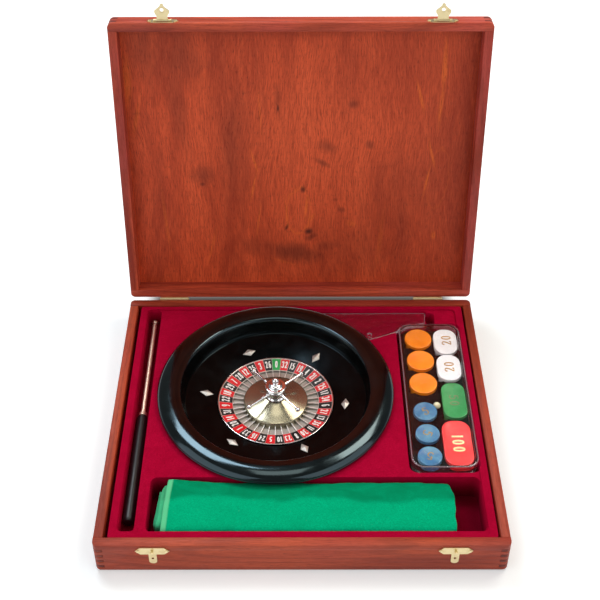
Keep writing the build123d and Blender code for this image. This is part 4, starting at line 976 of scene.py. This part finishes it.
# Figures on the chips by finish: text, the pen's numbers (width, height, gap, fine, broad)
# and places as (x, y, turn in degrees). They lie in the shallow dish of the top chip.
figureHeight = 33.9
chipFigures = dict(
    gold=(figureGold, "20", (6.9, 11.2, 1.3, 0.8, 1.75), [(161.4, 105.9, 90), (160.6, 65.6, 90)]),
    cream=(figureCream, "100", (7.2, 12.6, 1.9, 0.8, 2.2), [(158.8, -40.6, -90)]),
    dull=(figureDull, "5", (7.4, 10.6, 0, 1.0, 1.5), [(129.2, 2.7, 20), (129.0, -27.2, -115),
                                                      (128.7, -56.6, 160)]),
    faint=(figureFaint, "50", (7.0, 10.4, 1.6, 0.9, 1.5), [(160.8, 17.6, -90)]),
    warm=(figureWarm, "1", (9, 10, 0, 0.7, 1.3), [(130.6, 108.8, 40), (130.6, 75.6, -70),
                                                  (130.6, 42.2, 110)]),
)


def printFigures(look):
    for key, (finish, text, pen, spots) in look.items():
        flat, cells = figures(text, *pen)
        shapes = []
        for x, y, turn in spots:
            c, s = math.cos(math.radians(turn)), math.sin(math.radians(turn))
            spun = flat[:, :2] @ np.array([[c, s], [-s, c]]) + np.array([x, y])
            shapes.append((np.column_stack([spun, figureHeight + flat[:, 2]]), cells))
        addPiece("figures" + key.capitalize(), joined(shapes), "chip_box", "fitting_brass", finish,
                 merge=False, turnOut=False)


printFigures(chipFigures)
ballShape = dict(radius=4.0, middle=30.0, start=-math.pi / 2, steps=33)  # a whole half circle
addPiece("rouletteBall", turned(dome(**ballShape), (142.4, 13.2, 0), 48), "chip_box", "ball_ivory",
         ballIvory, "roulette_ball")
print("scene: chips, plaques and ball are in the box")

clothShape = dict(width=279.3, length=590.0, middle=(-116.3, 21.3), half=(29.9, 13.3), turns=5.3, across=200,
                  around=520, thick=1.0, outerLeft=(-131.8, 2.2), coreLeft=-138.6, hem=5.0, crest=8.0,
                  ridge=1.3, fall=2.2, lifted=6.0)


# A flat spiral: a squarish oval that shrinks evenly with the turn, walked by its own
# length. Its top rises to a ridge behind the middle and falls to the back, where the left
# corner is lifted. The inner turns stand out at the left end, and soft folds push the
# cloth in and out along the roll.
def buildCloth(look):
    fine = np.linspace(0, look["turns"] * 2 * math.pi, 8000)
    shrink = 1 - 0.88 * fine / fine[-1]
    high = look["half"][1] * shrink
    wide = look["half"][0] - look["half"][1] + high
    c, s = np.cos(fine + 4.9), np.sin(fine + 4.9)
    y = wide * np.sign(c) * np.abs(c) ** 0.26
    z = high * np.sign(s) * np.abs(s) ** 0.3
    ridge = look["ridge"] - look["fall"] * share((y - look["crest"]) / 22) ** 1.4
    ridge = ridge - 1.6 * share((look["crest"] - y) / 38) ** 2
    z = z + ridge * shrink * share(s * 2.2)
    walked = np.concatenate([[0], np.cumsum(np.hypot(np.diff(y), np.diff(z)))])
    print("scene: the cloth spiral is", round(walked[-1], 1), "mm long")
    way = np.linspace(0, min(look["length"], walked[-1]), look["around"])
    at = np.interp(way, walked, fine)
    y, z = np.interp(way, walked, y)[:, None], np.interp(way, walked, z)[:, None]
    turn = (at / (2 * math.pi))[:, None]
    inner = eased((turn - 1.05) / 0.55)
    y = y * (1 - 0.18 * inner)
    lift = np.clip(y / 29, -1, 1)
    left = look["outerLeft"][0] + look["outerLeft"][1] * lift + 0.5 * np.sin(way[:, None] * 0.09)
    left = left + (look["coreLeft"] - look["outerLeft"][0]) * inner + inner * 1.1 * np.sin(at[:, None] * 0.8)
    bow = 0.5 * np.sin(way[:, None] * 0.13 + 1) + 0.35 * np.sin(way[:, None] * 0.41)
    right = left + look["width"] - 7.0 * share(lift) ** 1.6 + 0.6 * share(-lift) ** 2 + bow
    x = left + (right - left) * np.linspace(0, 1, look["across"])[None]
    fold = 0.5 * np.sin(x * 0.046 + y * 0.13 + 0.5 * np.sin(x * 0.021))
    fold = fold + 0.34 * np.sin(x * 0.105 - y * 0.17 + 1.3)
    fold = fold + 0.2 * np.sin(x * 0.27 + y * 0.3 + 0.6) + 0.12 * np.sin(x * 0.55 - y * 0.42)
    ends = share((x - left) / 26) * share((right - x) / 34)
    fold = fold * (0.75 + 0.6 * (1 - ends)) * (1 - 0.7 * share(turn / 5))
    length = np.maximum(np.hypot(y, z), 6)
    corner = eased((-64 - x) / 60) * share((y - 6) / 22) ** 1.5 * share(z / 7)
    corner = look["lifted"] * corner * (1 - inner)
    points = np.stack([x, look["middle"][0] + y * (1 + fold / length),
                       look["middle"][1] + z * (1 + fold / length) + corner], -1)
    faces = gridFaces(look["around"], look["across"], False, False)
    mesh = bpy.data.meshes.new("gameCloth")
    mesh.from_pydata((points.reshape(-1, 3) / 1000).tolist(), [], faces[:, ::-1].tolist())
    mesh.shade_smooth()
    hem = mesh.attributes.new("hem", "FLOAT", "POINT")
    pale = share((left + look["hem"] - x) * 1.2) * (1 - 0.55 * inner)
    hem.data.foreach_set("value", pale.reshape(-1))
    # Painted shade: the top of the roll behind a wavy line is marked, and the baize darkens it there.
    edge = look["crest"] - 2 - (x + 130) * 0.022 + 2.2 * np.sin(x * 0.06) + 1.2 * np.sin(x * 0.17 + 1)
    napAndBackShade = mesh.attributes.new("napAndBackShade", "FLOAT", "POINT")
    napAndBackShade.data.foreach_set("value", (eased((y - edge) / 7) * (z > 0)).reshape(-1))
    piece = place("gameCloth", mesh, "cloth", "cloth_felt", clothBaize, "game_cloth")
    thick = piece.modifiers.new("thickness", "SOLIDIFY")
    thick.thickness = look["thick"] / 1000
    thick.offset = 0


# Baize: short green fibres over a faint twill, with painted shade in soft patches on the back of the roll's
# top, paler at the cut hem, with a few light bits of lint.
def baize(name, look):
    material, tree, shader, place = newMaterial(name, Roughness=0.95, Sheen_Weight=0.15, Sheen_Roughness=0.4,
                                                Specular_IOR_Level=0.05)
    shader.inputs["Sheen Tint"].default_value = tint(*look["light"])
    napAndBackShade = noise(tree, place, (1000, 1000, 1000), 3, 0.7)
    rib = noise(tree, place, (240, 2200, 2200), 2, 0.6)
    weft = noise(tree, place, (2200, 200, 200), 2, 0.6)
    cloud = noise(tree, place, (30, 48, 48), 4, 0.65, 0.8)
    lint = noise(tree, place, (520, 520, 520), 1, 0.5)
    mix = stain(tree, tint(*look["dark"]), napAndBackShade, 0.3, 0.7, 1.0, look["light"])
    mix = stain(tree, mix, rib, 0.4, 0.7, 0.3, look["dark"])
    mix = stain(tree, mix, weft, 0.45, 0.75, 0.3, look["dark"])
    mix = stain(tree, mix, cloud, 0.35, 0.7, 0.35, look["dark"])
    mix = stain(tree, mix, lint, 0.76, 0.82, 0.4, look["hem"])
    # Painted shade on the back of the roll's top, in soft patches.
    pressed = shade(tree, "Attribute", attribute_name="napAndBackShade").outputs["Fac"]
    patchy = between(tree, cloud, 0.3, 0.7, (0.6, 0.95))
    mix = mixed(tree, calc(tree, "MULTIPLY", pressed, patchy), mix, tint(*look["pressed"]))
    hem = shade(tree, "Attribute", attribute_name="hem").outputs["Fac"]
    mix = mixed(tree, calc(tree, "MULTIPLY", hem, 0.85), mix, tint(*look["hem"]))
    coat(tree, shader, mix, napAndBackShade, 0.0003, 0.6)
    return material


# The third colour is the painted shade on the back of the roll's top.
baizeLook = dict(light=(0, 194, 140), dark=(0, 152, 106), pressed=(0, 128, 86), hem=(104, 208, 152))
clothBaize = baize("clothBaize", baizeLook)
buildCloth(clothShape)
print("scene: cloth is rolled")
